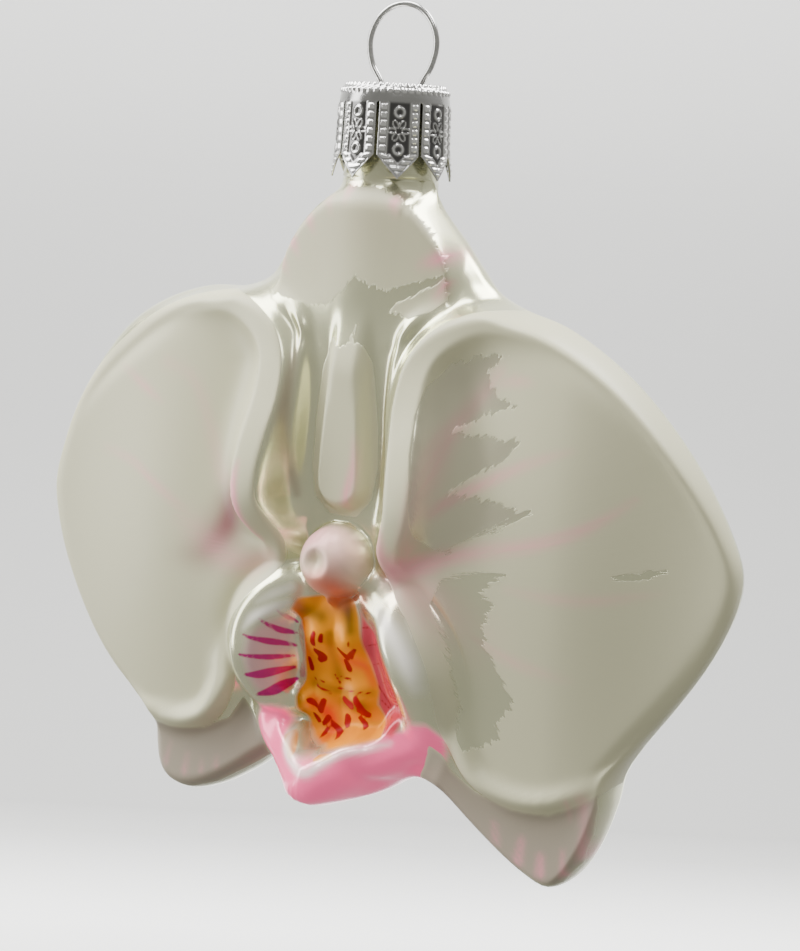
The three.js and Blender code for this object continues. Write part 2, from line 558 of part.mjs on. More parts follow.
// The crown cap: a stamped sheet shell whose skirt is slit into pointed tabs
function capGeometry() {
  const underside = CAP_LINE.map(
    ([radius, z]) => [Math.max(0, radius - CAP_SHEET), Math.min(z, CAP_TOP - CAP_SHEET)]);
  const profile = [...underside, ...[...CAP_LINE].reverse()];
  const lathe = new THREE.LatheGeometry(
    profile.map(([radius, z]) => new THREE.Vector2(radius, z)), CAP_SIDES);
  lathe.rotateX(Math.PI / 2);
  let cap = solidOf(lathe);
  const tabAngle = 2 * Math.PI / CAP_TABS;
  const valley = CAP_TIP_RADIUS * Math.tan(tabAngle / 2) - CAP_TIP_WIDTH;
  // what is cut out between two tabs: a narrow slit that opens into a V below the shoulder
  const notch = new THREE.Shape([
    [-CAP_SLIT / 2, CAP_SLIT_TOP], [CAP_SLIT / 2, CAP_SLIT_TOP], [CAP_SLIT / 2, CAP_TAB_SHOULDER],
    [valley, CAP_TIP - 0.05], [valley, CAP_TIP - 1], [-valley, CAP_TIP - 1],
    [-valley, CAP_TIP - 0.05], [-CAP_SLIT / 2, CAP_TAB_SHOULDER],
  ].map(([x, z]) => new THREE.Vector2(x, z)));
  const turn = THREE.MathUtils.degToRad(CAP_TURN);
  for (let tab = 0; tab < CAP_TABS; tab += 1) {
    const cutter = new THREE.ExtrudeGeometry(notch, { depth: 6, bevelEnabled: false });
    cutter.rotateX(Math.PI / 2);
    cutter.translate(0, -4, 0);
    cutter.rotateZ(turn + (tab + 0.5) * tabAngle);
    cap = cap.subtract(solidOf(cutter));
  }
  for (const side of [-1, 1]) {
    const hole = new THREE.CylinderGeometry(
      WIRE_RADIUS + CLEARANCE, WIRE_RADIUS + CLEARANCE, 3, 16);
    hole.rotateX(Math.PI / 2);
    hole.translate(side * LEG_SPREAD - NECK_OFFSET, 0, CAP_TOP);
    cap = cap.subtract(solidOf(hole));
  }
  return geometryFrom(cap);
}

// The hanging loop: spring wire, an oval above the cap and two legs that press outwards in the neck
function wireGeometry() {
  const loopMiddle = WIRE_RADIUS - LOOP_HALF_HEIGHT;
  const legOn = (side) => WIRE_LEG.map(
    ([out, height, offsetShare]) => [side * out + offsetShare * NECK_OFFSET, height - HANG_HEIGHT]);
  const arc = [];
  for (let step = 0; step <= ARC_STEPS; step += 1) {
    const angle = Math.PI * (1 - step / ARC_STEPS);
    arc.push([LOOP_HALF_WIDTH * Math.cos(angle), loopMiddle + LOOP_HALF_HEIGHT * Math.sin(angle)]);
  }
  const route = [...legOn(-1), ...arc, ...legOn(1).reverse()];
  const curve = new THREE.CatmullRomCurve3(
    route.map(([x, z]) => new THREE.Vector3(x, 0, z)), false, 'centripetal');
  const section = new THREE.Shape();
  section.absarc(0, 0, WIRE_RADIUS, 0, 2 * Math.PI);
  return new THREE.ExtrudeGeometry(section, {
    steps: WIRE_STEPS, curveSegments: 4, bevelEnabled: false, extrudePath: curve,
  });
}

function meshOf(name, geometry, color, roughness, metalness) {
  const mesh = new THREE.Mesh(
    geometry, new THREE.MeshStandardMaterial({ color, roughness, metalness }));
  mesh.name = name;
  return mesh;
}

const ornament = new THREE.Group();
const glassAndCap = new THREE.Group();
glassAndCap.position.set(NECK_OFFSET, 0, -HANG_HEIGHT);
glassAndCap.add(meshOf('glass_blossom', glassGeometry(), 0xe9e6da, 0.28, 0.15));
glassAndCap.add(meshOf('crown_cap', capGeometry(), 0xc9c9c6, 0.25, 1.0));
ornament.add(glassAndCap);
ornament.add(meshOf('hanging_wire', wireGeometry(), 0xb8b8b6, 0.2, 1.0));

export default ornament;
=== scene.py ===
"""The looks of a blown-glass orchid blossom ornament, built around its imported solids."""

import bmesh
import bpy
import numpy as np
from mathutils import Matrix, Vector


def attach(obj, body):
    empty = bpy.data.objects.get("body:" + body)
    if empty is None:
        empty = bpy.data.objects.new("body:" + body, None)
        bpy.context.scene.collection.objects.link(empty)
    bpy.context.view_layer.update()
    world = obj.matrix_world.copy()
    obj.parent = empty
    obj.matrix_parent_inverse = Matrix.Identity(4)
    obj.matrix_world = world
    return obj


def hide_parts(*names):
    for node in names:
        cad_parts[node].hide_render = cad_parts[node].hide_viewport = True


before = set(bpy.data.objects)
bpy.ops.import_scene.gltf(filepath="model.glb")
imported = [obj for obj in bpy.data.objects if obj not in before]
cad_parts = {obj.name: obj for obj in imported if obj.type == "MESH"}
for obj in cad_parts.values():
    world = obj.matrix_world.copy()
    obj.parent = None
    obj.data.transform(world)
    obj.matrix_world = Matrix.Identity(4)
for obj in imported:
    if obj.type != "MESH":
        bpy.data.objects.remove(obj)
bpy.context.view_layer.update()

# The glass blossom: one mouth-blown shell, pressed in a two-part mould, silvered inside and coated
# with pearl lacquer. Its seam lies in the plane y = 0. Sizes are in millimetres, x and z from the
# middle of the blossom, and every height is measured out from the seam plane.

MM = 0.001
HANG_HEIGHT = 66.6               # from the middle of the blossom up to the hanging point
NECK_OFFSET = -0.7               # the neck's axis beside the hanging point
NECK_RADIUS = 5.9
NECK_FOOT = 46.0


def ease(t):
    """0 to 1 with level ends: t squared times (3 - 2 t)."""
    t = np.clip(t, 0, 1)
    return t * t * (3 - 2 * t)


def mix(a, b, t):
    """From a to b as t goes from 0 to 1."""
    return a + (b - a) * t


def fall(distance, top, width):
    """1 on a flat top, easing down to 0 over the width of the wall."""
    return 1 - ease((distance - top) / width)


def bell(distance, width):
    """1 at no distance, falling as e to the minus square of distance over width."""
    return np.exp(-(distance / width) ** 2)


def blend_max(a, b, k):
    """The larger of two heights, with a rounded crease of radius k."""
    t = np.clip(0.5 + 0.5 * (a - b) / k, 0, 1)
    return mix(b, a, t) + k * t * (1 - t)


def smooth_line(stations, steps, closed=False):
    """Catmull-Rom line through the stations; every column of a station is carried along."""
    p = np.array(stations, float)
    p = np.vstack([p[-1:], p, p[:2]]) if closed else np.vstack([p[:1], p, p[-1:]])
    t = (np.arange(steps) / steps)[None, :, None]
    a, b, c, d = (p[i:len(p) - 3 + i, None, :] for i in range(4))
    line = 0.5 * (2 * b + (c - a) * t + (2 * a - 5 * b + 4 * c - d) * t ** 2
                  + (3 * b - a - 3 * c + d) * t ** 3)
    line = line.reshape(-1, p.shape[1])
    return np.vstack([line, line[:1] if closed else p[-2:-1]])


def nearest(line, x, z):
    """Distance to a line, the side (left of travel is 1), and its other columns where it is nearest."""
    best = np.full(x.shape, np.inf)
    side = np.ones(x.shape)
    values = np.zeros((line.shape[1] - 2,) + x.shape)
    for a, b in zip(line[:-1], line[1:]):
        ex, ez = b[:2] - a[:2]
        t = np.clip(((x - a[0]) * ex + (z - a[1]) * ez) / (ex * ex + ez * ez + 1e-12), 0, 1)
        distance = np.hypot(x - a[0] - t * ex, z - a[1] - t * ez)
        closer = distance < best - 1e-9
        best = np.where(closer, distance, best)
        side = np.where(closer, np.where(ex * (z - a[1]) - ez * (x - a[0]) >= 0, 1, -1), side)
        for k in range(len(values)):
            values[k] = np.where(closer, a[k + 2] + (b[k + 2] - a[k + 2]) * t, values[k])
    return best, side, values


def is_inside(line, x, z):
    """True inside a closed line: a ray towards +x crosses it an odd number of times."""
    inside = np.zeros(x.shape, bool)
    for (x0, z0), (x1, z1) in zip(line[:-1, :2], line[1:, :2]):
        if z0 != z1:
            inside ^= ((z0 > z) != (z1 > z)) & (x < (x1 - x0) * (z - z0) / (z1 - z0) + x0)
    return inside


def mirrored(stations):
    """The same stations on the other side of the blossom's middle."""
    return [(-station[0],) + tuple(station[1:]) for station in stations]


def quarter_round(distance, width):
    """0 at an edge, rising as a quarter circle to 1 at this width."""
    return np.sqrt(1 - (1 - np.clip(distance / width, 0, 1)) ** 2)


# The blossom's outline on its seam, from the neck down each side, and the round neck above it
RIGHT_OUTLINE = [
    (5.9, 46.0), (7.6, 42.6), (10.6, 38.9), (13.0, 35.9), (15.6, 33.0), (19.5, 31.2), (24.5, 29.7),
    (29.7, 26.9), (34.8, 23.1), (39.5, 18.4), (43.6, 13.2), (46.7, 8.0), (48.6, 3.4), (48.5, -0.6),
    (46.9, -5.2), (44.6, -9.6), (41.6, -14.2), (38.3, -18.9), (36.2, -22.6), (35.4, -26.5),
    (33.8, -31.4), (31.6, -35.4), (29.2, -37.5), (26.4, -36.9), (22.6, -34.9), (17.9, -31.7),
    (13.8, -28.7), (10.6, -27.6), (7.6, -28.4), (4.0, -30.6), (0.0, -32.0)]
LEFT_OUTLINE = [
    (5.9, 46.0), (8.2, 42.8), (11.6, 38.9), (13.8, 36.2), (16.0, 33.2), (19.8, 31.6), (25.5, 31.2),
    (31.3, 29.3), (36.2, 25.8), (40.3, 20.8), (43.5, 15.4), (45.7, 9.6), (47.0, 4.4), (46.7, 0.2),
    (45.2, -5.2), (42.7, -10.6), (39.6, -15.6), (36.2, -19.6), (32.2, -22.8), (29.6, -25.2),
    (29.2, -29.0), (28.4, -32.4), (26.4, -34.4), (23.2, -35.0), (19.2, -33.6), (15.0, -31.0),
    (11.8, -28.6), (9.4, -27.6), (6.9, -29.3), (4.1, -31.4), (0.0, -32.0)]

outline = np.vstack([smooth_line(RIGHT_OUTLINE, 6),
                     smooth_line(mirrored(LEFT_OUTLINE), 6)[::-1][1:]])
closed_outline = np.vstack([outline, outline[:1]])


def edge_distance(x, z):
    """Distance in from the blossom's outline, 0 outside it."""
    return np.where(is_inside(closed_outline, x, z), nearest(closed_outline, x, z)[0], 0)


def neck_height(x):
    """Half a circle of the neck's radius."""
    return np.sqrt(np.maximum(0, NECK_RADIUS ** 2 - x * x))


# The sepals, with the channel between the petals and the tongue in it
DORSAL_EDGE = [
    (12.6, 30.0), (12.4, 33.5), (12.0, 36.0), (10.6, 38.9), (8.4, 41.6), (6.0, 43.7), (3.4, 45.1),
    (0.0, 45.6)]
PLATE_LEVEL = 7.3                # the top sepal's plate sinks to its sides, with a rib down its middle
PLATE_SINK = 0.01
PLATE_RIB = 0.5
PLATE_RIB_WIDTH = 4.5
PLATE_EDGE = 1.2
CHANNEL_LEVEL = 7.6              # the floor between the petals
CHANNEL_TOP = 33                 # it sinks in and rises out over these heights
CHANNEL_TOP_BLEND = 9
CHANNEL_FOOT = -8
CHANNEL_FOOT_BLEND = 6
CHANNEL_HALF_WIDTH = 6
CHANNEL_WALL = 4
SEPAL_LEVEL = 5.4                # the lower sepals are flat, and the top rounds into the shoulder
SHOULDER_FOOT = 26
SHOULDER_BLEND = 8
SHOULDER_DEPTH = 7.2
SHOULDER_EDGE = 2.2
TONGUE_FOOT = 9.2
TONGUE_TOP = 31.0
TONGUE_HEIGHT = 2.0
TONGUE_HALF_WIDTH = 2.5          # of its flat top at the foot, and at the top
TONGUE_TOP_HALF_WIDTH = 1.5
TONGUE_WALL = 1.4
TONGUE_TAPER = 18                # it narrows over this height from its foot
TONGUE_FADE = 9                  # and sinks away over this height below its top
# a thin ridge along each side of the channel: x, z, height, half width
CHANNEL_RIDGE = [
    (13.4, 31.0, 0.0, 0.9), (10.4, 30.4, 0.7, 0.9), (7.9, 28.6, 1.0, 0.9), (6.7, 25.4, 1.0, 0.8),
    (6.4, 20.0, 1.1, 0.8), (6.4, 14.0, 1.1, 0.8), (6.3, 8.4, 1.0, 0.8), (5.6, 4.4, 0.6, 0.8)]

shoulder = smooth_line(RIGHT_OUTLINE[:7], 4)[::-1]
dorsal_edge = np.vstack([smooth_line(DORSAL_EDGE, 4), smooth_line(mirrored(DORSAL_EDGE), 4)[::-1][1:],
                         [(0, 22)], DORSAL_EDGE[:1]])
channel_ridge = smooth_line(CHANNEL_RIDGE, 5)


def sepals_and_channel(x, z):
    """Flat level that rounds into the shoulder, with the dorsal sepal's plate, channel and tongue."""
    width = np.interp(z, shoulder[:, 1], shoulder[:, 0])
    round_depth = SHOULDER_DEPTH * np.sqrt(np.maximum(0, 1 - (x / width) ** 2))
    height = mix(SEPAL_LEVEL, np.maximum(round_depth, SHOULDER_EDGE),
                 ease((z - SHOULDER_FOOT) / SHOULDER_BLEND))
    plate = PLATE_LEVEL - PLATE_SINK * x * x + PLATE_RIB * bell(x, PLATE_RIB_WIDTH)
    distance = nearest(dorsal_edge, x, z)[0]
    inwards = np.where(is_inside(dorsal_edge, x, z), distance, -distance)
    height = mix(height, np.maximum(plate, height), ease((inwards + 0.2) / PLATE_EDGE))
    channel = (ease((CHANNEL_TOP - z) / CHANNEL_TOP_BLEND)
               * ease((z - CHANNEL_FOOT) / CHANNEL_FOOT_BLEND)
               * fall(np.abs(x), CHANNEL_HALF_WIDTH, CHANNEL_WALL))
    height = mix(height, CHANNEL_LEVEL, channel)
    ridge_distance, _, (ridge_height, ridge_width) = nearest(channel_ridge, np.abs(x), z)
    height = height + ridge_height * bell(ridge_distance, ridge_width)
    along = np.hypot(x, np.minimum(0, z - TONGUE_FOOT))
    half_width = mix(TONGUE_HALF_WIDTH, TONGUE_TOP_HALF_WIDTH, ease((z - TONGUE_FOOT) / TONGUE_TAPER))
    tongue = fall(along, half_width, TONGUE_WALL) * ease((TONGUE_TOP - z) / TONGUE_FADE)
    return height + TONGUE_HEIGHT * tongue


# A petal's crest, round from its top by the channel: x, z, height, half width of its flat top, and
# the width of the walls outside and inside it. The petals differ from the bottom round the far side.
CREST_BY_CHANNEL = [
    (17.4, 29.3, 8.0, 0.8, 2.4, 7.0), (12.8, 27.2, 9.0, 1.2, 3.0, 8.0),
    (10.4, 24.0, 9.9, 1.5, 3.2, 8.5), (9.9, 19.5, 11.2, 1.7, 3.2, 9.0),
    (10.4, 14.5, 13.0, 1.7, 3.4, 9.0), (10.8, 10.0, 14.2, 1.7, 3.6, 9.0),
    (10.6, 6.0, 14.4, 1.6, 3.4, 9.0), (9.2, 3.0, 13.0, 1.4, 3.0, 8.0),
    (8.3, 0.8, 10.8, 1.0, 2.4, 6.0), (9.7, -1.9, 8.0, 0.6, 3.0, 5.0),
    (13.2, -5.6, 7.6, 0.4, 4.0, 5.0), (16.0, -10.8, 7.5, 0.4, 4.4, 4.0)]
RIGHT_CREST = CREST_BY_CHANNEL + [
    (16.8, -15.6, 7.5, 0.5, 3.8, 4.0), (17.2, -20.0, 7.9, 0.8, 2.2, 3.0),
    (19.6, -24.2, 8.2, 0.6, 1.8, 1.6), (24.0, -26.0, 8.0, 0.5, 1.8, 1.4),
    (29.0, -25.8, 7.4, 0.4, 1.8, 1.4), (34.2, -22.8, 5.6, 0.4, 1.6, 1.6),
    (38.0, -18.2, 3.8, 0.3, 1.0, 1.6), (43.9, -9.6, 2.6, 0.3, 0.8, 1.6),
    (47.9, -1.0, 2.2, 0.3, 0.8, 1.6), (47.8, 3.6, 2.4, 0.3, 0.8, 1.6),
    (44.9, 10.0, 3.6, 0.4, 1.2, 1.8), (39.6, 16.9, 4.9, 0.4, 1.6, 2.2),
    (34.0, 22.5, 5.7, 0.5, 1.8, 3.0), (28.2, 26.7, 6.5, 0.6, 2.0, 4.0),
    (22.6, 28.9, 7.3, 0.7, 2.2, 6.0)]
LEFT_CREST = CREST_BY_CHANNEL + [
    (16.8, -15.6, 7.8, 0.5, 3.8, 4.0), (16.8, -18.6, 8.3, 0.8, 2.2, 3.0),
    (19.2, -22.6, 8.3, 0.6, 1.8, 1.8), (23.6, -24.4, 8.0, 0.5, 1.8, 1.6),
    (28.4, -23.8, 7.4, 0.4, 1.8, 1.6), (33.2, -20.8, 6.6, 0.4, 1.8, 1.6),
    (38.4, -17.6, 6.1, 0.4, 1.9, 1.6), (43.4, -9.4, 5.7, 0.4, 2.0, 1.6),
    (46.6, -1.6, 5.6, 0.4, 2.0, 1.6), (46.6, 3.6, 5.6, 0.4, 2.0, 1.6),
    (44.0, 10.6, 5.7, 0.4, 2.0, 1.8), (39.3, 17.2, 5.8, 0.4, 2.0, 2.2),
    (33.6, 22.7, 6.1, 0.5, 2.0, 3.0), (27.8, 26.9, 6.6, 0.6, 2.2, 4.0),
    (22.4, 28.9, 7.3, 0.7, 2.2, 6.0)]
LEFT_FAR_LEVEL = 5.2             # a petal's face at its far edge: the right one thins out there
RIGHT_FAR_LEVEL = 2.2
RIGHT_FAR_START = (34, -24)      # x and z where the body behind it thins out too, up to a height
RIGHT_FAR_BLEND = (10, 5)
RIGHT_FAR_TOP = 26
CREST_SPREAD = 1.5               # a station's height and walls are shared about this far along
PETAL_LEVEL = 5.2                # a petal's face by the channel
PETAL_SWELL = 3.4                # its soft swell, with its middle and its reach in x and z
PETAL_SWELL_PLACE = (24, 3)
PETAL_SWELL_REACH = (14, 30)
HUB_SWELL = 1.8                  # a smaller, upright swell by the column
HUB_PLACE = (11, -4)
HUB_REACH = 7
HUB_STRETCH = 1.6
FAR_START = 28                   # from here the face goes over to its far level
FAR_BLEND = 20
CREST_DROP = 3.5                 # the power that makes the wall inside a crest drop fast

right_crest = smooth_line(RIGHT_CREST, 5, closed=True)
left_crest = smooth_line(LEFT_CREST, 5, closed=True)


def shared_values(line, x, z):
    """A line's other columns round it: means weighed by one over the fourth power of the distance."""
    total = np.zeros((line.shape[1] - 2,) + x.shape)
    weights = np.zeros(x.shape)
    for station in line[:-1]:
        squared = (x - station[0]) ** 2 + (z - station[1]) ** 2
        weight = 1 / (squared + CREST_SPREAD ** 2) ** 2
        weights += weight
        total += station[2:, None, None] * weight
    return total / weights


def add_petal(height, x, z, crest, far_level):
    """Outside its flat-topped crest a petal falls away; inside it drops steeply onto a swelling face."""
    distance = nearest(crest, x, z)[0]
    top, flat, outer_wall, inner_wall = shared_values(crest, x, z)
    outside = np.maximum(height, mix(height, top, fall(distance, flat, outer_wall)))
    swell = PETAL_SWELL
    for place, middle, swell_reach in zip((x, z), PETAL_SWELL_PLACE, PETAL_SWELL_REACH):
        swell = swell * bell(place - middle, swell_reach)
    from_hub = np.hypot(x - HUB_PLACE[0], (z - HUB_PLACE[1]) / HUB_STRETCH)
    hub = HUB_SWELL * bell(from_hub, HUB_REACH)
    face = mix(PETAL_LEVEL, far_level, ease((x - FAR_START) / FAR_BLEND)) + swell + hub
    inwards = np.clip((distance - flat) / inner_wall, 0, 1)
    return np.where(is_inside(crest, x, z), mix(face, top, (1 - inwards) ** CREST_DROP), outside)


# The lip. Its crests: x, z, height, width of the wall outside, and inside
RIGHT_LOBE_CREST = [
    (5.0, -4.2, 9.2, 2.4, 2.4), (6.8, -5.4, 9.9, 3.2, 2.6), (8.6, -7.0, 11.2, 4.4, 3.4),
    (10.2, -9.8, 12.0, 5.2, 4.6), (11.6, -13.3, 11.8, 5.2, 5.2), (12.2, -16.6, 10.4, 4.4, 5.0),
    (11.8, -19.6, 8.6, 3.4, 3.4), (10.6, -21.6, 7.4, 2.4, 2.4)]
LEFT_LOBE_CREST = [
    (-4.6, -4.6, 9.4, 2.4, 2.4), (-7.1, -5.5, 10.6, 3.2, 3.2), (-9.4, -7.4, 11.6, 3.8, 4.2),
    (-10.8, -10.2, 12.2, 4.0, 4.8), (-11.0, -13.4, 12.2, 3.8, 4.8), (-10.3, -16.4, 11.2, 3.4, 4.2),
    (-8.9, -18.5, 9.8, 2.6, 3.4), (-6.9, -19.4, 8.2, 1.4, 2.6), (-5.2, -19.0, 6.8, 1.0, 1.6)]
LOBE_TOP = 0.9                   # half width of the rounded top
MIDLOBE_CREST = [
    (-9.2, -21.0, 7.4, 2.4, 2.0), (-8.5, -23.0, 8.2, 2.4, 2.0), (-6.2, -24.8, 10.0, 2.8, 2.2),
    (-3.2, -26.0, 12.6, 3.2, 2.6), (-0.6, -26.8, 14.4, 3.4, 3.0), (1.6, -25.8, 13.8, 3.2, 2.6),
    (3.6, -24.4, 11.4, 2.8, 2.2), (6.0, -24.0, 9.6, 2.6, 2.0), (7.9, -22.8, 8.2, 2.4, 2.0),
    (9.2, -20.8, 7.4, 2.4, 2.2)]
MIDLOBE_TOP = 1.1
SCOOP_LEVEL = 5.2                # the lip's hollow, whose floor rises towards the column
SCOOP_RISE = 3.3
SCOOP_RISE_FOOT = -20
SCOOP_RISE_BLEND = 14
SCOOP_HALF_WIDTH = 8.2
SCOOP_WALL = 2.5
SCOOP_TOP = -3
SCOOP_FOOT = -27
SCOOP_FOOT_BLEND = 3
CHIN_X = -0.8
CHIN_HEIGHT = 12.6
CHIN_WIDTH = 7.2
CHIN_SQUARENESS = 2.2            # over 2, its top is flatter than a bell's
CHIN_TOP = -23
CHIN_TOP_BLEND = 4
CALLUS_LUMPS = [(2.2, -10.6, 1.6), (2.6, -18.4, 1.5)]   # x on either side, z, height
LUMP_WIDTH = 2.2

right_lobe_crest = smooth_line(RIGHT_LOBE_CREST, 5)
left_lobe_crest = smooth_line(LEFT_LOBE_CREST, 5)
midlobe_crest = smooth_line(MIDLOBE_CREST, 5)


def add_crest(height, x, z, crest, flat, outer_side):
    """A rolled crest along an open line: a round shoulder outside it, a wall that levels out inside."""
    distance, side, (top, outer_wall, inner_wall) = nearest(crest, x, z)
    shoulder_share = 1 - np.clip((distance - flat) / outer_wall, 0, 1) ** 2
    share = np.where(side == outer_side, shoulder_share, fall(distance, flat, inner_wall))
    return np.maximum(height, mix(height, top, share))


def add_lip(height, x, z):
    """The scoop is opened first, then the chin, side lobes, midlobe crest and callus are raised."""
    across = np.abs(x)
    scoop = SCOOP_LEVEL + SCOOP_RISE * ease((z - SCOOP_RISE_FOOT) / SCOOP_RISE_BLEND)
    opened = (fall(across, SCOOP_HALF_WIDTH, SCOOP_WALL) * ease((SCOOP_TOP - z) / SCOOP_WALL)
              * ease((z - SCOOP_FOOT) / SCOOP_FOOT_BLEND))
    chin_share = np.exp(-(np.abs(x - CHIN_X) / CHIN_WIDTH) ** CHIN_SQUARENESS)
    chin = CHIN_HEIGHT * chin_share * ease((CHIN_TOP - z) / CHIN_TOP_BLEND)
    lip = np.maximum(mix(height, scoop, opened), chin)
    lip = add_crest(lip, x, z, right_lobe_crest, LOBE_TOP, 1)
    lip = add_crest(lip, x, z, left_lobe_crest, LOBE_TOP, -1)
    lip = add_crest(lip, x, z, midlobe_crest, MIDLOBE_TOP, -1)
    for lump_x, lump_z, lump_height in CALLUS_LUMPS:
        lip = lip + lump_height * bell(np.hypot(across - lump_x, z - lump_z), LUMP_WIDTH)
    return lip


# The column, a ball over the lip
COLUMN_RADIUS = 4.5
COLUMN_Z = -0.6
COLUMN_REACH = 8.6
COLUMN_CREASE = 0.6
COLUMN_CHIN = 10.4               # a narrow upright chin below the ball
COLUMN_CHIN_Z = -5
COLUMN_CHIN_STRETCH = (0.8, 1.4)
COLUMN_CHIN_TOP = 0.3
COLUMN_CHIN_WALL = 2.2
DIMPLE_X = -0.8
DIMPLE_Z = COLUMN_Z + 0.3
DIMPLE_DEPTH = 1.3
DIMPLE_RADIUS = 1.3
DIMPLE_RIM = 0.2                 # a low ring round the dimple
DIMPLE_RIM_RADIUS = 2.0
DIMPLE_RIM_WIDTH = 0.7


def dimple_distance(x, z):
    """Distance from the middle of the column's dimple."""
    return np.hypot(x - DIMPLE_X, z - DIMPLE_Z)


def add_column(height, x, z):
    """A ball with a pointed chin, and a dimple with a low rim in its front."""
    out = np.hypot(x, z - COLUMN_Z)
    ball = COLUMN_REACH + np.sqrt(np.maximum(0, COLUMN_RADIUS ** 2 - out ** 2))
    ball = np.where(out < COLUMN_RADIUS, ball, 0)
    stretch_x, stretch_z = COLUMN_CHIN_STRETCH
    from_chin = np.hypot(x / stretch_x, (z - COLUMN_CHIN_Z) / stretch_z)
    chin = COLUMN_CHIN * fall(from_chin, COLUMN_CHIN_TOP, COLUMN_CHIN_WALL)
    from_dimple = dimple_distance(x, z)
    dimple = DIMPLE_DEPTH * bell(from_dimple, DIMPLE_RADIUS)
    rim = DIMPLE_RIM * bell(from_dimple - DIMPLE_RIM_RADIUS, DIMPLE_RIM_WIDTH)
    return blend_max(blend_max(height, ball, COLUMN_CREASE), chin, COLUMN_CREASE) - dimple + rim


# The front and the back, from the seam out
LEFT_ROUNDING = 2.2              # how far in from the seam the front is rounded over
RIGHT_ROUNDING = 1.0
TOP_ROUNDING = 1.2
TOP_START = 29                   # the top sepal has its rounding from here up
TOP_BLEND = 6
SIDE_BLEND = 40                  # and the left one goes over to the right one over this width
NECK_START = 42.5                # the front goes over to the round neck from here
NECK_BLEND = 3.4
BACK_LEVEL = 4.6
BACK_SWELL = 5.2                 # with its reach in x and z, round a middle above the blossom's own
BACK_SWELL_REACH = (17, 24)
BACK_SWELL_Z = 6
BACK_GROOVE = 0.7
BACK_GROOVE_WIDTH = 2.4
BACK_GROOVE_REACH = 24           # it fades out beyond this distance from the middle
BACK_GROOVE_FADE = 8
BACK_ROUNDING = 6.5
BACK_NECK_START = 38
BACK_NECK_BLEND = 7.5


def front_height(x, z):
    """The body, then the petals, the lip and the column over it, rounded to the seam and the neck."""
    height = sepals_and_channel(x, z)
    far_right = np.where(z < RIGHT_FAR_TOP, 1, 0)
    for place, start, blend in zip((x, z), RIGHT_FAR_START, RIGHT_FAR_BLEND):
        far_right = far_right * ease((place - start) / blend)
    height = mix(height, np.minimum(height, RIGHT_FAR_LEVEL), far_right)
    left = add_petal(height, -x, z, left_crest, LEFT_FAR_LEVEL)
    right = add_petal(height, x, z, right_crest, RIGHT_FAR_LEVEL)
    height = add_column(add_lip(np.where(x < 0, left, right), x, z), x, z)
    sides = mix(LEFT_ROUNDING, RIGHT_ROUNDING, ease(x / SIDE_BLEND))
    rounding = mix(sides, TOP_ROUNDING, ease((z - TOP_START) / TOP_BLEND))
    rounded = height * quarter_round(edge_distance(x, z), rounding)
    return mix(rounded, neck_height(x), ease((z - NECK_START) / NECK_BLEND))


def back_height(x, z):
    """A soft swell, with a shallow groove behind each petal's inner edge."""
    reach_x, reach_z = BACK_SWELL_REACH
    swell = BACK_LEVEL + BACK_SWELL * bell(x, reach_x) * bell(z - BACK_SWELL_Z, reach_z)
    beside = np.where(x < 0, nearest(left_crest, -x, z)[0], nearest(right_crest, x, z)[0])
    fade = fall(np.abs(x), BACK_GROOVE_REACH, BACK_GROOVE_FADE)
    groove = BACK_GROOVE * bell(beside, BACK_GROOVE_WIDTH) * fade
    rounded = (swell - groove) * quarter_round(edge_distance(x, z), BACK_ROUNDING)
    return mix(rounded, neck_height(x), ease((z - BACK_NECK_START) / BACK_NECK_BLEND))


MIDDLE_Z = 4.0                   # the grids are stretched out from here


def stretched_grid(cells, neck_cells):
    """A square grid pressed onto a disc and stretched to the outline, closer in the middle."""
    index = np.arange(cells + 1)
    even = 2 * index / cells - 1
    # steps are 0.58 of the even ones in the middle, and grow towards the rim
    crowded = even * (0.58 + 0.42 * even ** 2)
    u, v = np.meshgrid(crowded, crowded, indexing="ij")
    disc_x, disc_z = u * np.sqrt(1 - v * v / 2), v * np.sqrt(1 - u * u / 2)
    out, grid = np.hypot(disc_x, disc_z), np.arctan2(disc_x, disc_z)
    middle = cells // 2
    grid_corner = grid[middle + neck_cells // 2, cells]
    neck_corner = np.arctan2(NECK_RADIUS, NECK_FOOT - MIDDLE_Z)
    beyond = np.maximum(0, np.abs(grid) - grid_corner) / (np.pi - grid_corner)
    angle = np.sign(grid) * (np.minimum(np.abs(grid), grid_corner) / grid_corner * neck_corner
                             + beyond * (np.pi - neck_corner))
    # the outline as reach over angle, finely stepped
    fine = np.vstack([mix(a, b, np.linspace(0, 1, 10, endpoint=False)[:, None])
                      for a, b in zip(closed_outline[:-1], closed_outline[1:])])
    fine_angle = np.arctan2(fine[:, 0], fine[:, 1] - MIDDLE_Z)
    order = np.argsort(fine_angle)
    fine_reach = np.hypot(fine[:, 0], fine[:, 1] - MIDDLE_Z)
    reach = np.interp(angle, fine_angle[order], fine_reach[order], period=2 * np.pi)
    # the last fifth of the way out, rows crowd to the rim as a sine levels out
    rim_crowd = 0.8627 + 0.1373 * np.sin((np.clip(out, 0.8, 1) - 0.8) * 2.5 * np.pi)
    reach = reach * np.where(out < 0.8, out * 1.078, rim_crowd)
    x, z = reach * np.sin(angle), MIDDLE_Z + reach * np.cos(angle)
    rim = slice(middle - neck_cells // 2, middle + neck_cells // 2 + 1)
    turn = (index[rim] - middle) / neck_cells * np.pi
    x[rim, cells] = NECK_RADIUS * np.sin(turn)
    z[rim, cells] = NECK_FOOT
    return x, z


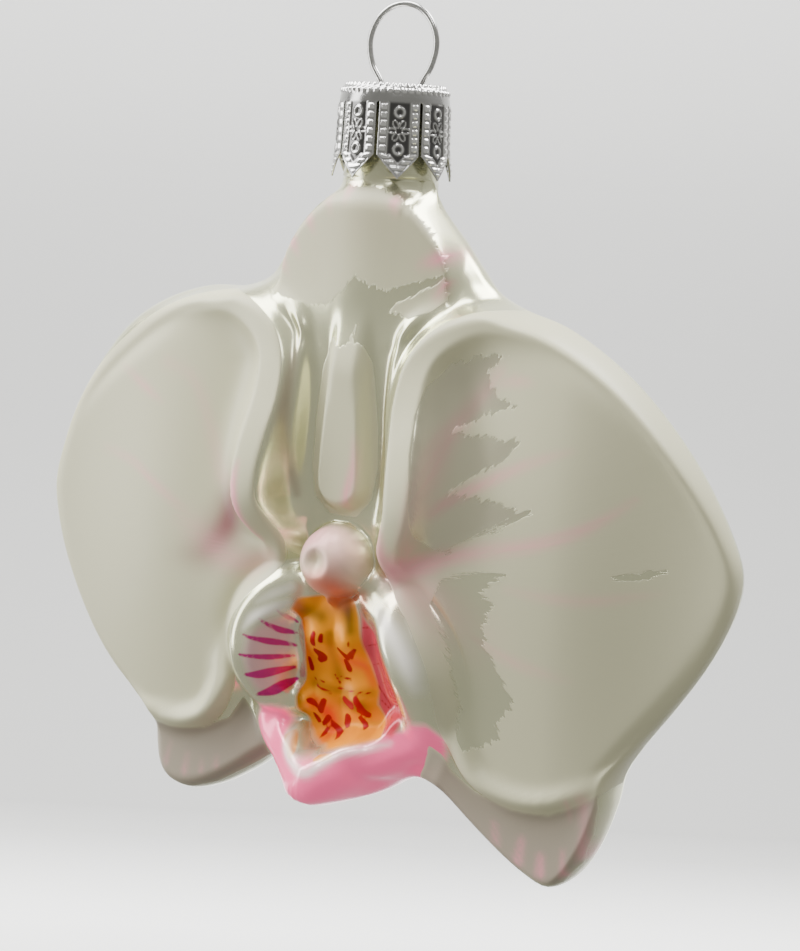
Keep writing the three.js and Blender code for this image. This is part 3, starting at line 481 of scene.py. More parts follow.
# The mesh: one sheet of cells for the front and one for the back, joined on the seam and at the neck
GLASS_CELLS = 216
NECK_GRID_CELLS = 40             # grid cells over half the neck's round
NECK_PROFILE = [(5.78, 46.7), (5.6, 47.6), (5.42, 48.8), (5.3, 50.0), (5.3, 53.2), (5.3, 56.1),
                (5.12, 56.4), (4.5, 56.4), (4.3, 56.1), (4.3, 52.0)]   # radius, z: ends inside the mouth
SOFTENING = 2                    # passes


def soften(height, passes):
    """Each inner point moves halfway to the mean of its four neighbours, as blown glass is soft."""
    for _ in range(passes):
        beside = height[:-2, 1:-1] + height[2:, 1:-1] + height[1:-1, :-2] + height[1:-1, 2:]
        height[1:-1, 1:-1] = mix(height[1:-1, 1:-1], beside / 4, 0.5)
    return height


def grid_triangles(points, cells):
    """Each cell is cut along its shorter diagonal, but a corner cell through the sheet's corner."""
    i, j = np.meshgrid(np.arange(cells), np.arange(cells), indexing="ij")
    a = i * (cells + 1) + j
    b, c, d = a + cells + 1, a + cells + 2, a + 1
    first = (np.linalg.norm(points[a] - points[c], axis=-1)
             < np.linalg.norm(points[b] - points[d], axis=-1))
    ends = (0, -1)
    for row in ends:
        for column in ends:
            first[row, column] = row == column
    first = first.ravel()
    a, b, c, d = (corner.ravel() for corner in (a, b, c, d))
    halves = [np.where(first[:, None], np.c_[a, b, c], np.c_[a, b, d]),
              np.where(first[:, None], np.c_[a, c, d], np.c_[b, c, d])]
    return np.vstack(halves)


def ring_band(lower, upper):
    """Two triangles between each pair of neighbours on two rings of point numbers."""
    return np.vstack([np.c_[lower, np.roll(lower, -1), upper],
                      np.c_[np.roll(lower, -1), np.roll(upper, -1), upper]])


def placed(points):
    """From the blossom's millimetres to the part's metres, origin at the hanging point."""
    return (points + np.array([NECK_OFFSET, 0, -HANG_HEIGHT])) * MM


def mesh_piece(name, points, faces):
    """A smooth-shaded piece in the scene, from metres and point numbers."""
    mesh = bpy.data.meshes.new(name)
    mesh.from_pydata(points.tolist(), [], faces.tolist())
    mesh.shade_smooth()
    piece = bpy.data.objects.new(name, mesh)
    bpy.context.collection.objects.link(piece)
    return piece


grid_x, grid_z = stretched_grid(GLASS_CELLS, NECK_GRID_CELLS)
sheet_size = grid_x.size
number = np.arange(sheet_size).reshape(grid_x.shape)
on_edge = np.ones(grid_x.shape, bool)
on_edge[1:-1, 1:-1] = False
rim_start = (GLASS_CELLS - NECK_GRID_CELLS) // 2
on_rim = np.zeros(grid_x.shape, bool)
on_rim[rim_start:rim_start + NECK_GRID_CELLS + 1, -1] = True
sheets = []
for way, surface in ((-1, front_height), (1, back_height)):
    height = np.where(on_edge, 0, surface(grid_x, grid_z))
    height = np.where(on_rim, neck_height(grid_x), height)
    sheets.append(np.stack([grid_x, way * soften(height, SOFTENING), grid_z], axis=-1).reshape(-1, 3))
front_sheet = grid_triangles(sheets[0], GLASS_CELLS)
back_sheet = grid_triangles(sheets[1], GLASS_CELLS)[:, ::-1] + sheet_size

# the back sheet's seam points are the front sheet's own
weld = np.arange(2 * sheet_size)
inner_rim = on_rim & (np.abs(grid_x) < NECK_RADIUS - 1e-6)
seam = (on_edge & ~inner_rim).ravel()
weld[sheet_size:][seam] = number.ravel()[seam]
rim_front = number[on_rim]
rim_back = number[inner_rim][::-1] + sheet_size
rim_ring = weld[np.concatenate([rim_front, rim_back])]

body_points = np.vstack(sheets)
rim_turn = np.arctan2(body_points[rim_ring, 1], body_points[rim_ring, 0])
neck_rings = [np.c_[radius * np.cos(rim_turn), radius * np.sin(rim_turn), np.full(rim_turn.size, z)]
              for radius, z in NECK_PROFILE]
mouth_middle = np.array([[0, 0, NECK_PROFILE[-1][1]]])
ring_numbers = [rim_ring] + [2 * sheet_size + k * rim_ring.size + np.arange(rim_ring.size)
                             for k in range(len(NECK_PROFILE))]
middle_number = 2 * sheet_size + len(NECK_PROFILE) * rim_ring.size
neck_bands = [ring_band(lower, upper) for lower, upper in zip(ring_numbers[:-1], ring_numbers[1:])]
mouth_floor = np.c_[ring_numbers[-1], np.roll(ring_numbers[-1], -1),
                    np.full(rim_ring.size, middle_number)]
all_points = np.vstack([body_points] + neck_rings + [mouth_middle])
all_faces = np.vstack([weld[front_sheet], weld[back_sheet]] + neck_bands + [mouth_floor])
kept, faces = np.unique(all_faces, return_inverse=True)
glass = mesh_piece("glass_blossom_fine", placed(all_points[kept]), faces.reshape(-1, 3))

# The paint. The matte white on the top sepal, the leaf mark and the tongue: outlines, x and z
DORSAL_PAINT = [
    (-2.3, 44.7), (1.3, 44.9), (3.9, 44.0), (5.9, 42.9), (8.2, 40.6), (9.8, 38.6), (10.9, 36.4),
    (11.3, 35.1), (8.9, 34.2), (6.5, 33.5), (5.5, 33.3), (4.4, 32.6), (3.4, 32.8), (2.7, 33.4),
    (2.1, 32.9), (1.5, 33.8), (0.9, 33.4), (0.2, 35.0), (-1.3, 32.6), (-3.5, 30.6), (-6.6, 30.2),
    (-9.9, 30.8), (-13.0, 31.5), (-12.6, 33.3), (-11.4, 35.6), (-9.9, 37.8), (-8.3, 40.0),
    (-6.1, 42.2), (-4.2, 43.8)]
LEAF_PAINT = [
    (4.7, 30.2), (5.6, 31.2), (6.6, 31.7), (9.0, 33.0), (11.3, 34.3), (11.8, 32.0), (10.2, 30.5),
    (8.3, 29.9), (7.4, 29.5), (6.1, 30.0)]
TONGUE_PAINT = [
    (1.0, 28.4), (0.4, 26.2), (1.9, 26.0), (3.0, 24.0), (3.6, 20.6), (4.2, 16.0), (4.4, 11.0), (3.8, 7.2),
    (1.8, 5.0), (-1.8, 5.0), (-4.0, 7.0), (-4.6, 11.0), (-4.4, 17.0), (-3.7, 23.0), (-2.6, 26.6),
    (-1.0, 25.4), (0.0, 25.8)]
# the right petal's bare glass down its rim and up the brush teeth, above and below the painted hub
RIGHT_BARE_ABOVE = [
    (20.5, 26.2), (17.4, 25.9), (14.0, 24.9), (11.8, 22.1), (11.2, 18.4), (11.6, 14.0), (12.3, 10.5),
    (12.4, 6.7), (12.3, 4.2), (13.4, 2.6), (15.0, 2.4), (15.7, 3.3), (20.8, 5.7), (25.5, 8.3),
    (20.7, 9.2), (15.0, 9.3), (16.2, 11.0), (19.1, 12.6), (21.6, 13.8), (23.2, 16.4), (20.1, 16.6),
    (14.9, 16.9), (18.7, 19.2), (22.6, 20.5), (20.4, 21.2), (19.0, 22.6), (18.2, 24.2)]
RIGHT_BARE_BELOW = [
    (14.4, -1.0), (18.7, 0.6), (22.9, 0.7), (21.3, -0.3), (19.8, -1.7), (21.4, -3.0), (20.4, -5.5),
    (20.6, -8.3), (21.4, -9.4), (23.1, -12.1), (24.5, -14.8), (22.2, -17.5), (22.8, -19.0),
    (21.3, -20.4), (18.2, -21.4), (17.4, -20.2), (17.2, -16.0), (16.6, -11.0), (15.0, -7.4),
    (12.8, -4.2)]
# the lower sepals' paint, which takes a darker taupe: painted shade where they lie below the petals
RIGHT_SEPAL_PAINT = [
    (13.4, -21.6), (15.6, -24.8), (19.0, -26.8), (24.0, -28.0), (29.0, -27.8), (33.4, -25.6),
    (34.9, -24.2), (34.9, -26.0), (34.2, -29.4), (32.6, -33.6), (30.4, -36.4), (28.4, -36.7),
    (24.0, -35.0), (18.0, -31.1), (13.8, -28.1), (11.2, -26.6)]
LEFT_SEPAL_PAINT = [
    (-14.5, -20.5), (-16.5, -23.5), (-20.0, -25.4), (-25.0, -25.7), (-28.6, -25.2), (-28.6, -29.0),
    (-27.7, -32.1), (-25.8, -33.6), (-23.0, -34.3), (-19.0, -32.9), (-14.8, -30.3), (-11.5, -28.0),
    (-10.6, -25.0)]
CREST_PAINT = 1.8                # how far the matte paint reaches beyond a petal's crest line

# pale pink strokes: x, z, half width, strength along each
ROSE_STROKES = [
    [(8.4, -0.6, 2.4, 1.0), (12.3, 0.6, 1.6, 0.8), (15.5, 1.9, 1.1, 0.6), (20.9, 3.4, 1.0, 0.5),
     (26.4, 4.8, 0.9, 0.5), (31.8, 7.0, 0.8, 0.45), (37.1, 10.9, 0.5, 0.2)],
    [(10.5, 1.0, 0.9, 0.5), (12.2, 5.4, 1.0, 0.3), (13.4, 11.3, 1.2, 0.35), (14.6, 16.8, 1.2, 0.4),
     (19.7, 24.0, 1.2, 0.25)],
    [(13.0, 6.0, 0.8, 0.1), (15.4, 8.9, 0.8, 0.5), (20.5, 11.8, 0.8, 0.45), (25.1, 14.2, 0.7, 0.35),
     (29.8, 16.0, 0.5, 0.1)],
    [(19.5, 23.0, 0.8, 0.2), (22.5, 23.4, 0.8, 0.3), (25.0, 23.2, 0.5, 0.0)],
    [(23.0, -1.0, 0.6, 0.1), (32.2, -1.3, 0.8, 0.25), (40.8, 0.4, 0.5, 0.05)],
    [(19.0, -7.4, 0.8, 0.2), (24.3, -9.6, 0.9, 0.25), (31.2, -10.9, 0.6, 0.05)],
    [(9.0, -1.4, 2.6, 0.5), (13.0, -3.8, 3.2, 0.38), (19.3, -7.8, 3.6, 0.12)],
    [(-34.2, 20.3, 0.6, 0.1), (-30.1, 17.9, 0.7, 0.4), (-27.3, 16.4, 0.5, 0.1)],
    [(-36.4, 9.4, 0.8, 0.1), (-31.4, 8.2, 0.7, 0.3), (-27.8, 6.0, 0.7, 0.35), (-22.0, 2.6, 0.9, 0.15)],
    [(-27.0, 21.5, 1.0, 0.12), (-22.0, 19.0, 1.0, 0.15), (-17.5, 8.0, 1.2, 0.2)],
    [(-22.5, 2.0, 2.0, 0.15), (-17.3, -1.6, 2.0, 0.3), (-13.4, -2.6, 1.8, 0.4), (-9.0, -0.8, 1.2, 0.3)],
    [(-11.5, 11.0, 0.4, 0.3), (-11.9, 8.2, 0.6, 0.95), (-11.6, 5.4, 0.65, 1.0), (-10.9, 2.9, 0.65, 1.0),
     (-9.5, 1.3, 0.5, 0.6)],
    [(1.9, 16.0, 0.5, 0.0), (2.2, 12.0, 0.6, 0.55), (1.6, 8.4, 0.7, 0.75), (1.0, 6.4, 0.6, 0.4)],
    [(6.4, 12.0, 0.5, 0.0), (7.6, 5.0, 1.0, 0.5), (7.4, 1.4, 1.4, 0.8), (7.6, -0.6, 1.4, 0.8)],
    [(4.4, 43.2, 0.7, 0.75), (4.9, 41.9, 0.5, 0.2)], [(-1.9, 44.5, 0.7, 0.6), (-2.0, 42.8, 0.5, 0.1)],
    [(-4.6, 43.0, 0.6, 0.35), (-4.0, 41.4, 0.5, 0.1)], [(-7.3, 40.6, 0.7, 0.65), (-6.4, 38.9, 0.5, 0.1)],
    [(-9.8, 37.7, 0.8, 0.75), (-8.7, 36.0, 0.5, 0.1)], [(-11.5, 35.2, 0.8, 0.5), (-10.2, 33.7, 0.5, 0.1)],
    [(10.6, 36.9, 1.0, 1.0), (8.4, 36.0, 0.8, 0.25)], [(11.4, 33.9, 0.6, 0.8), (10.7, 32.5, 0.9, 0.35)],
    [(-26.2, -31.2, 0.5, 0.25), (-25.5, -28.5, 0.4, 0.1)],
    [(-23.2, -32.0, 0.5, 0.4), (-22.8, -29.6, 0.5, 0.15)],
    [(-20.6, -31.4, 0.4, 0.35), (-20.5, -30.0, 0.4, 0.1)],
    [(-18.4, -30.4, 0.4, 0.35), (-18.3, -29.0, 0.4, 0.1)],
    [(21.9, -30.3, 0.45, 0.3), (22.2, -32.4, 0.5, 0.5)],
    [(25.6, -31.6, 0.5, 0.5), (25.3, -34.2, 0.6, 0.85)],
    [(28.2, -33.2, 0.5, 0.7), (28.2, -35.2, 0.6, 0.85)],
    [(31.0, -32.0, 0.4, 0.35), (31.1, -35.0, 0.45, 0.5)],
    [(33.6, -28.0, 0.5, 0.3), (33.2, -33.0, 0.6, 0.7)],
    [(31.5, -25.6, 0.4, 0.3), (31.6, -28.0, 0.4, 0.1)], [(33.2, -25.2, 0.9, 0.3), (33.6, -28.0, 0.9, 0.3)]]
# spots that the brush missed: x, z, half width along each
MISSED_SPOTS = [[(35.1, 1.7, 0.08), (38.0, 2.3, 0.5), (41.1, 2.9, 0.08)]]
# a dusky mauve, partly pink blush and partly painted shade: in the hollow beside the left petal's crest,
# down the channel, and on the top sepal
BLUSH_AND_PAINTED_SHADE = [
    [(-15.4, 9.0, 1.6, 0.2), (-15.6, 5.0, 2.2, 0.9), (-16.4, 1.6, 2.6, 1.0), (-19.6, -1.8, 2.4, 0.6),
     (-24.0, -3.0, 1.8, 0.1)],
    [(-7.4, 28.0, 0.5, 0.1), (-7.2, 22.0, 0.6, 0.4), (-7.2, 14.0, 0.7, 0.5), (-6.2, 7.0, 0.5, 0.3)],
    [(5.4, 24.0, 0.6, 0.1), (5.2, 16.0, 0.7, 0.25), (4.8, 9.0, 0.6, 0.2)],
    [(-8.0, 36.0, 4.0, 0.06), (0.0, 41.0, 4.5, 0.14), (8.0, 38.0, 4.0, 0.08)]]
# painted highlights: white laid along the lip's rolled edges, where they would gleam
PAINTED_HIGHLIGHTS = [
    [(7.0, -5.6, 0.8, 0.5), (8.8, -7.0, 1.3, 1.0), (10.6, -8.8, 1.6, 1.0), (12.2, -11.0, 1.5, 1.0),
     (13.2, -13.6, 1.2, 0.5)],
    [(-9.4, -6.6, 0.5, 0.3), (-7.6, -5.4, 0.6, 0.6), (-5.6, -4.4, 0.6, 0.5)],
    [(-10.8, -10.0, 0.4, 0.4), (-9.6, -8.4, 0.7, 0.9), (-7.4, -7.2, 0.7, 0.9), (-5.8, -6.4, 0.5, 0.5)],
    [(-5.6, -22.6, 0.4, 0.5), (-4.8, -24.2, 0.6, 0.9), (-2.6, -25.4, 0.6, 0.9), (0.2, -26.0, 0.6, 0.9),
     (1.8, -24.8, 0.6, 0.9), (3.6, -23.6, 0.5, 0.8), (6.0, -23.0, 0.5, 0.7), (8.4, -22.2, 0.4, 0.4)]]
# the lip's lacquers: outlines, x and z
LIP_PINK = [
    (-6.6, -20.2), (-8.2, -19.8), (-10.4, -20.0), (-11.4, -22.6), (-10.8, -26.0), (-8.4, -33.0),
    (6.0, -33.0), (12.6, -29.6), (14.6, -24.4), (15.8, -20.6), (13.8, -18.6), (11.4, -19.0),
    (9.6, -20.4), (7.4, -20.8), (6.9, -21.6), (4.4, -22.6), (0.0, -24.4), (-3.0, -24.8), (-5.6, -23.4)]
RIGHT_LOBE_PINK = [
    (3.6, -6.0), (4.9, -7.6), (7.4, -9.6), (9.4, -12.0), (10.5, -14.9), (10.3, -17.6), (9.4, -20.2),
    (8.4, -21.6), (6.6, -21.2), (5.2, -18.4), (4.6, -13.8), (3.8, -10.2)]
LEFT_LOBE_ROSE = [
    (-5.6, -7.6), (-8.2, -8.4), (-10.4, -10.6), (-11.0, -13.2), (-10.8, -16.0), (-9.8, -18.4),
    (-7.6, -18.6), (-6.2, -17.4), (-6.0, -13.0), (-5.6, -10.0)]
THROAT = [
    (-4.6, -5.6), (-5.6, -7.2), (-4.7, -8.8), (-4.2, -10.5), (-5.0, -14.0), (-5.1, -17.0),
    (-5.7, -18.6), (-5.3, -20.8), (-4.1, -22.4), (-2.7, -23.3), (-1.2, -23.9), (1.0, -23.8),
    (3.2, -23.1), (5.3, -22.6), (7.2, -21.8), (6.4, -20.2), (5.2, -18.2), (5.4, -16.4), (4.8, -13.8),
    (4.4, -11.5), (3.9, -9.4), (3.5, -7.2), (3.0, -5.4), (1.4, -4.6), (-1.6, -5.0)]
# olive, which is painted shade below the column, in the throat's pits and along its middle, and orange
# flame over the amber throat: x, z, half width, strength along each
THROAT_SHADE = [
    [(-4.6, -7.2, 1.0, 0.6), (-1.8, -7.8, 1.1, 0.8)], [(1.8, -6.4, 1.1, 1.0), (2.5, -8.8, 1.0, 0.9)],
    [(-0.4, -9.8, 0.6, 0.5), (-0.6, -12.6, 0.5, 0.3), (-0.3, -15.4, 0.9, 0.6)],
    [(-3.4, -16.8, 0.7, 0.5), (0.4, -17.3, 0.7, 0.5), (4.4, -16.8, 0.6, 0.4)],
    [(0.6, -18.6, 0.9, 0.7), (3.2, -18.9, 1.0, 0.8)], [(-5.2, -18.9, 0.8, 0.6), (-5.2, -21.0, 0.6, 0.4)]]
THROAT_FLAME = [
    [(-5.2, -8.0, 1.0, 0.6), (-4.4, -10.2, 0.8, 0.5), (-4.4, -14.6, 0.6, 0.4)],
    [(1.0, -13.2, 0.9, 0.6), (3.6, -13.4, 0.9, 0.7), (4.6, -15.6, 0.7, 0.5)],
    [(-3.2, -19.2, 0.9, 0.8), (-1.9, -20.4, 1.2, 1.0), (-1.2, -22.4, 0.9, 0.9), (-1.6, -23.6, 0.6, 0.4)]]
# crisp strokes and dabs: x, z, half width along each
LOBE_STROKES = [
    [(-6.9, -7.4, 0.08), (-6.0, -8.5, 0.22), (-5.3, -9.0, 0.10)],
    [(-8.8, -8.6, 0.08), (-7.6, -9.6, 0.25), (-6.8, -10.2, 0.36), (-5.6, -10.5, 0.12)],
    [(-10.7, -10.8, 0.08), (-9.0, -11.2, 0.25), (-7.8, -11.6, 0.38), (-5.9, -12.2, 0.14)],
    [(-11.2, -13.4, 0.10), (-9.5, -13.4, 0.22), (-7.9, -13.6, 0.32), (-6.3, -13.6, 0.12)],
    [(-10.8, -16.0, 0.12), (-9.0, -15.8, 0.48), (-7.9, -15.5, 0.48), (-6.5, -15.2, 0.18)],
    [(-9.7, -18.6, 0.12), (-7.9, -18.0, 0.54), (-7.0, -17.2, 0.52), (-6.4, -16.8, 0.18)]]
THROAT_SPOTS = [
    [(-2.4, -9.9, 0.34), (-2.7, -11.2, 0.44)], [(-1.4, -10.0, 0.26), (-1.5, -10.7, 0.32)],
    [(-2.7, -12.4, 0.45), (-2.0, -13.0, 0.62), (-2.6, -13.6, 0.42)],
    [(-4.3, -13.7, 0.28), (-4.1, -15.0, 0.38)], [(0.5, -11.5, 0.20), (1.6, -12.5, 0.46)],
    [(3.2, -11.2, 0.20), (2.2, -12.3, 0.42)], [(1.2, -13.2, 0.36), (1.4, -14.2, 0.46)],
    [(2.6, -10.2, 0.12), (2.5, -10.7, 0.16)], [(-3.8, -16.2, 0.10), (-2.2, -16.5, 0.14)],
    [(-3.1, -17.0, 0.12), (-1.2, -17.7, 0.20)], [(-0.9, -15.2, 0.10), (-0.1, -16.4, 0.18)],
    [(0.0, -15.5, 0.12), (1.5, -15.6, 0.20)], [(-0.4, -17.1, 0.10), (4.4, -16.9, 0.14)],
    [(-3.7, -18.9, 0.36), (-3.2, -19.6, 0.32)], [(-2.0, -18.8, 0.36), (-2.8, -20.3, 0.42)],
    [(-3.9, -21.0, 0.25), (-3.2, -21.7, 0.34)], [(-1.8, -21.1, 0.40), (-2.5, -22.0, 0.32)],
    [(-1.3, -21.8, 0.36), (0.2, -22.8, 0.46)], [(-1.9, -22.7, 0.32), (-1.9, -23.2, 0.24)],
    [(0.6, -18.3, 0.45), (1.8, -18.8, 0.58)], [(2.6, -17.9, 0.44), (3.3, -19.0, 0.46)],
    [(3.0, -19.2, 0.40), (4.0, -19.7, 0.44)], [(1.0, -20.6, 0.52), (0.8, -21.6, 0.46)],
    [(3.0, -20.4, 0.38), (3.8, -21.2, 0.36)]]
LOBE_TICKS = [
    [(3.8, -8.4, 0.06), (4.8, -8.2, 0.12)], [(4.4, -10.6, 0.06), (5.9, -10.2, 0.11)],
    [(5.0, -13.0, 0.08), (6.4, -12.6, 0.07)], [(5.3, -15.6, 0.08), (6.8, -15.0, 0.06)],
    [(5.6, -17.6, 0.10), (8.0, -19.8, 0.07)], [(5.4, -16.0, 0.10), (7.2, -18.6, 0.08)]]
ORANGE_DABS = [[(-5.3, -23.3, 0.5), (-4.3, -24.0, 0.55), (-3.3, -24.7, 0.5)],
               [(0.8, -24.4, 0.32), (2.3, -24.1, 0.38)]]
# blushes on the column: x, z, half width, strength along each
COLUMN_ROSE = [[(-1.6, 1.8, 3.6, 1.0), (1.8, 1.8, 3.2, 0.6), (0.0, -0.8, 3.6, 0.85)]]
COLUMN_CORAL = [[(-2.0, -3.2, 1.7, 0.6), (1.4, -3.4, 2.2, 1.0), (0.6, -5.4, 1.5, 0.8)],
                [(4.2, -4.2, 0.9, 0.7), (4.4, -6.6, 0.8, 0.6)],
                [(-4.6, -4.4, 0.8, 0.5), (-4.8, -6.6, 0.8, 0.5)]]


FAR_OUTSIDE = -9.0               # the signed distance where there is no paint


def margin(corners, x, z):
    """Signed distance to a closed outline, positive inside it."""
    line = np.array(corners + corners[:1], float)
    distance = nearest(line, x, z)[0]
    return np.where(is_inside(line, x, z), distance, -distance)


def soft_strokes(lines, x, z):
    """The strongest of many strokes, each a bell across its line, with its own width and strength."""
    total = np.zeros(x.shape)
    for stations in lines:
        distance, _, (half_width, strength) = nearest(smooth_line(stations, 5), x, z)
        total = np.maximum(total, strength * bell(distance, half_width))
    return total


def crisp_strokes(lines, x, z):
    """Signed distance to strokes of changing half width, positive inside them."""
    total = np.full(x.shape, FAR_OUTSIDE)
    for stations in lines:
        distance, _, (half_width,) = nearest(smooth_line(stations, 4), x, z)
        total = np.maximum(total, half_width - distance)
    return total


def crest_margin(crest, x, z):
    """Signed distance to the edge of the matte paint that covers a petal and its crest."""
    distance = nearest(crest, x, z)[0]
    return np.where(is_inside(crest, x, z), distance + CREST_PAINT, CREST_PAINT - distance)


def petal_margin(x, z):
    """The larger of both petals' signed distances."""
    return np.maximum(crest_margin(right_crest, x, z), crest_margin(left_crest, -x, z))


def washed(corners, beyond, softness):
    """0 to 1 over a soft edge that starts this far beyond a closed outline."""
    return ease((margin(corners, px, pz) + beyond) / softness)


BRUSH_HUB = (9, -1)              # the brush fans out from here on a petal
DORSAL_HUB_Z = 22                # and from here on the top sepal, which starts at its foot
DORSAL_FOOT = 29.5
BRUSH_FAN_REACH = 20             # the distance from a hub at which bristle marks have their true width


def brush_way(x, z):
    """Across and along the brush's strokes: round a hub on each petal and sepal, else straight down."""
    on_petal = petal_margin(x, z) > 0
    hub_x = np.where(on_petal, BRUSH_HUB[0] * np.sign(x), 0)
    hub_z = np.where(on_petal, BRUSH_HUB[1], DORSAL_HUB_Z)
    turn = np.arctan2(z - hub_z, np.abs(x - hub_x))
    out = np.hypot(x - hub_x, z - hub_z)
    fanned = on_petal | (z > DORSAL_FOOT)
    return np.where(fanned, turn * BRUSH_FAN_REACH, x), np.where(fanned, out, z)


TEETH_TOP = 27.5                 # bare glass on the right petal ends below this
TEETH_START = 13                 # left of this its edge is smooth, and it frays in full after the blend
TEETH_BLEND = 2
STROKE_PRESS = 0.06              # the lip's strokes are this much wider than their lines say
LOBE_ROSE_STRENGTH = 0.6
# the column's dimple shows pale pearl where the rose thins round it: a painted highlight
DIMPLE_HIGHLIGHT = 0.8                # the rose on the column thins by this share in its dimple

px, pz = grid_x.ravel(), grid_z.ravel()
shaded = margin(RIGHT_BARE_ABOVE, px, pz)
bare = np.maximum.reduce([shaded, margin(RIGHT_BARE_BELOW, px, pz), crisp_strokes(MISSED_SPOTS, px, pz)])
petals = petal_margin(px, pz)
brushed_parts = [margin(part, px, pz) for part in (DORSAL_PAINT, LEAF_PAINT, TONGUE_PAINT)]
sepals = np.maximum(margin(RIGHT_SEPAL_PAINT, px, pz), margin(LEFT_SEPAL_PAINT, px, pz))
across, along = brush_way(px, pz)
# how far each edge frays: the petals' teeth in full, the top sepal's and the tongue's edges less
brushed_edge = 0.5 * (brushed_parts[0] > petals) + 0.1 * (brushed_parts[2] > petals)
teeth = (-bare < petals) & (pz < TEETH_TOP)
dimple_highlight = bell(dimple_distance(px, pz), DIMPLE_RIM_RADIUS)
paint_fields = {
    "cover": np.maximum.reduce([np.minimum(petals, -bare), sepals] + brushed_parts),
    "shaded": shaded,
    "sepals": sepals - np.maximum(petals, 0),
    "fray": np.where(teeth, ease((px - TEETH_START) / TEETH_BLEND), brushed_edge),
    "rose": soft_strokes(ROSE_STROKES, px, pz),
    "blush_and_shade": soft_strokes(BLUSH_AND_PAINTED_SHADE, px, pz),
    "painted_highlight": soft_strokes(PAINTED_HIGHLIGHTS, px, pz),
    "lip_pink": washed(LIP_PINK, 0.5, 1.2),
    "wall_coral": washed(RIGHT_LOBE_PINK, 0.3, 0.8),
    "lobe_rose": LOBE_ROSE_STRENGTH * washed(LEFT_LOBE_ROSE, 0.4, 1.6),
    "throat": margin(THROAT, px, pz),
    "throat_shade": soft_strokes(THROAT_SHADE, px, pz),
    "throat_flame": soft_strokes(THROAT_FLAME, px, pz),
    "lobe_strokes": crisp_strokes(LOBE_STROKES, px, pz) + STROKE_PRESS,
    "spots": np.maximum(crisp_strokes(THROAT_SPOTS, px, pz), crisp_strokes(LOBE_TICKS, px, pz)),
    "orange_dabs": crisp_strokes(ORANGE_DABS, px, pz),
    "column": COLUMN_RADIUS - np.hypot(px, pz - COLUMN_Z),
    "column_rose": soft_strokes(COLUMN_ROSE, px, pz) * (1 - DIMPLE_HIGHLIGHT * dimple_highlight),
    "column_coral": soft_strokes(COLUMN_CORAL, px, pz),
    "brush_across": across,
    "brush_along": along,
}
SIGNED_FIELDS = {"cover", "shaded", "sepals", "throat", "lobe_strokes", "spots", "orange_dabs", "column"}


def give_field(piece, name, values):
    """A named number for each point of a piece, for its material to read."""
    attribute = piece.data.attributes.new(name, "FLOAT", "POINT")
    attribute.data.foreach_set("value", values.astype(np.float32))


for field, values in paint_fields.items():
    everywhere = np.full(len(all_points), FAR_OUTSIDE if field in SIGNED_FIELDS else 0.0)
    everywhere[:sheet_size] = values
    give_field(glass, field, everywhere[kept])


def feed(tree, node, inputs):
    """Sets a node's inputs by name or number, or links those that are given another node's output."""
    for socket, value in inputs.items():
        if isinstance(value, bpy.types.NodeSocket):
            tree.links.new(value, node.inputs[socket])
        else:
            node.inputs[socket].default_value = value


def wire_up(tree, kind, inputs, output=0, **settings):
    """One new node with its settings and inputs; gives one of its outputs."""
    node = tree.nodes.new(kind)
    for setting, value in settings.items():
        setattr(node, setting, value)
    feed(tree, node, inputs)
    return node.outputs[output]


def math_of(tree, operation, *values):
    """One sum, product or the like of two values."""
    return wire_up(tree, "ShaderNodeMath", dict(enumerate(values)), operation=operation)


def product_of(tree, first, *others):
    """The product of two or more values."""
    for other in others:
        first = math_of(tree, "MULTIPLY", first, other)
    return first


def between(tree, share, low, high, start=0.0, end=1.0):
    """From low to high as the share goes from start to end, in a straight line."""
    return wire_up(tree, "ShaderNodeMapRange", {"Value": share, "From Min": start, "From Max": end,
                                                "To Min": low, "To Max": high})


def field_of(tree, name):
    """The piece's own named field."""
    return wire_up(tree, "ShaderNodeAttribute", {}, output="Fac", attribute_name=name)


def inside_of(tree, distance, edge):
    """1 inside a signed distance, 0 outside it, over a soft edge of this many millimetres."""
    return wire_up(tree, "ShaderNodeMapRange",
                   {"Value": distance, "From Min": -edge, "From Max": edge},
                   interpolation_type="SMOOTHSTEP")


def laid_over(tree, below, above, mask):
    """One colour over another, as far as the mask says."""
    return wire_up(tree, "ShaderNodeMix", {0: mask, 6: below, 7: above}, output=2, data_type="RGBA")


def new_material(name):
    """An empty node material with its Principled shader, and the tree to build it in."""
    material = bpy.data.materials.new(name)
    material.use_nodes = True
    tree = material.node_tree
    return material, tree, tree.nodes["Principled BSDF"]


def colour(red, green, blue):
    """An sRGB colour of 0 to 255 as the shader's linear one."""
    share = np.array([red, green, blue]) / 255
    linear = np.where(share <= 0.04045, share / 12.92, ((share + 0.055) / 1.055) ** 2.4)
    return (*linear, 1)


PEARL = colour(226, 226, 188)
MATTE_WHITE = colour(208, 205, 170)
SHADED_PEARL = colour(222, 217, 186)
SEPAL_SHADE_TAUPE = colour(170, 159, 140)
HIGHLIGHT_WHITE = colour(255, 250, 240)
PALE_ROSE = colour(255, 162, 178)
SHADE_MAUVE = colour(140, 92, 88)
LIP_LACQUER = colour(255, 96, 146)
AMBER = colour(255, 160, 0)
FLAME = colour(250, 70, 4)
OLIVE_SHADE = colour(120, 84, 6)
MAGENTA = colour(196, 22, 124)
DARK_RED = colour(176, 12, 18)
COLUMN_PINK = colour(252, 176, 184)
CORAL = colour(224, 122, 94)
WALL_CORAL = colour(220, 66, 84)
LOBE_ROSE = colour(232, 150, 180)

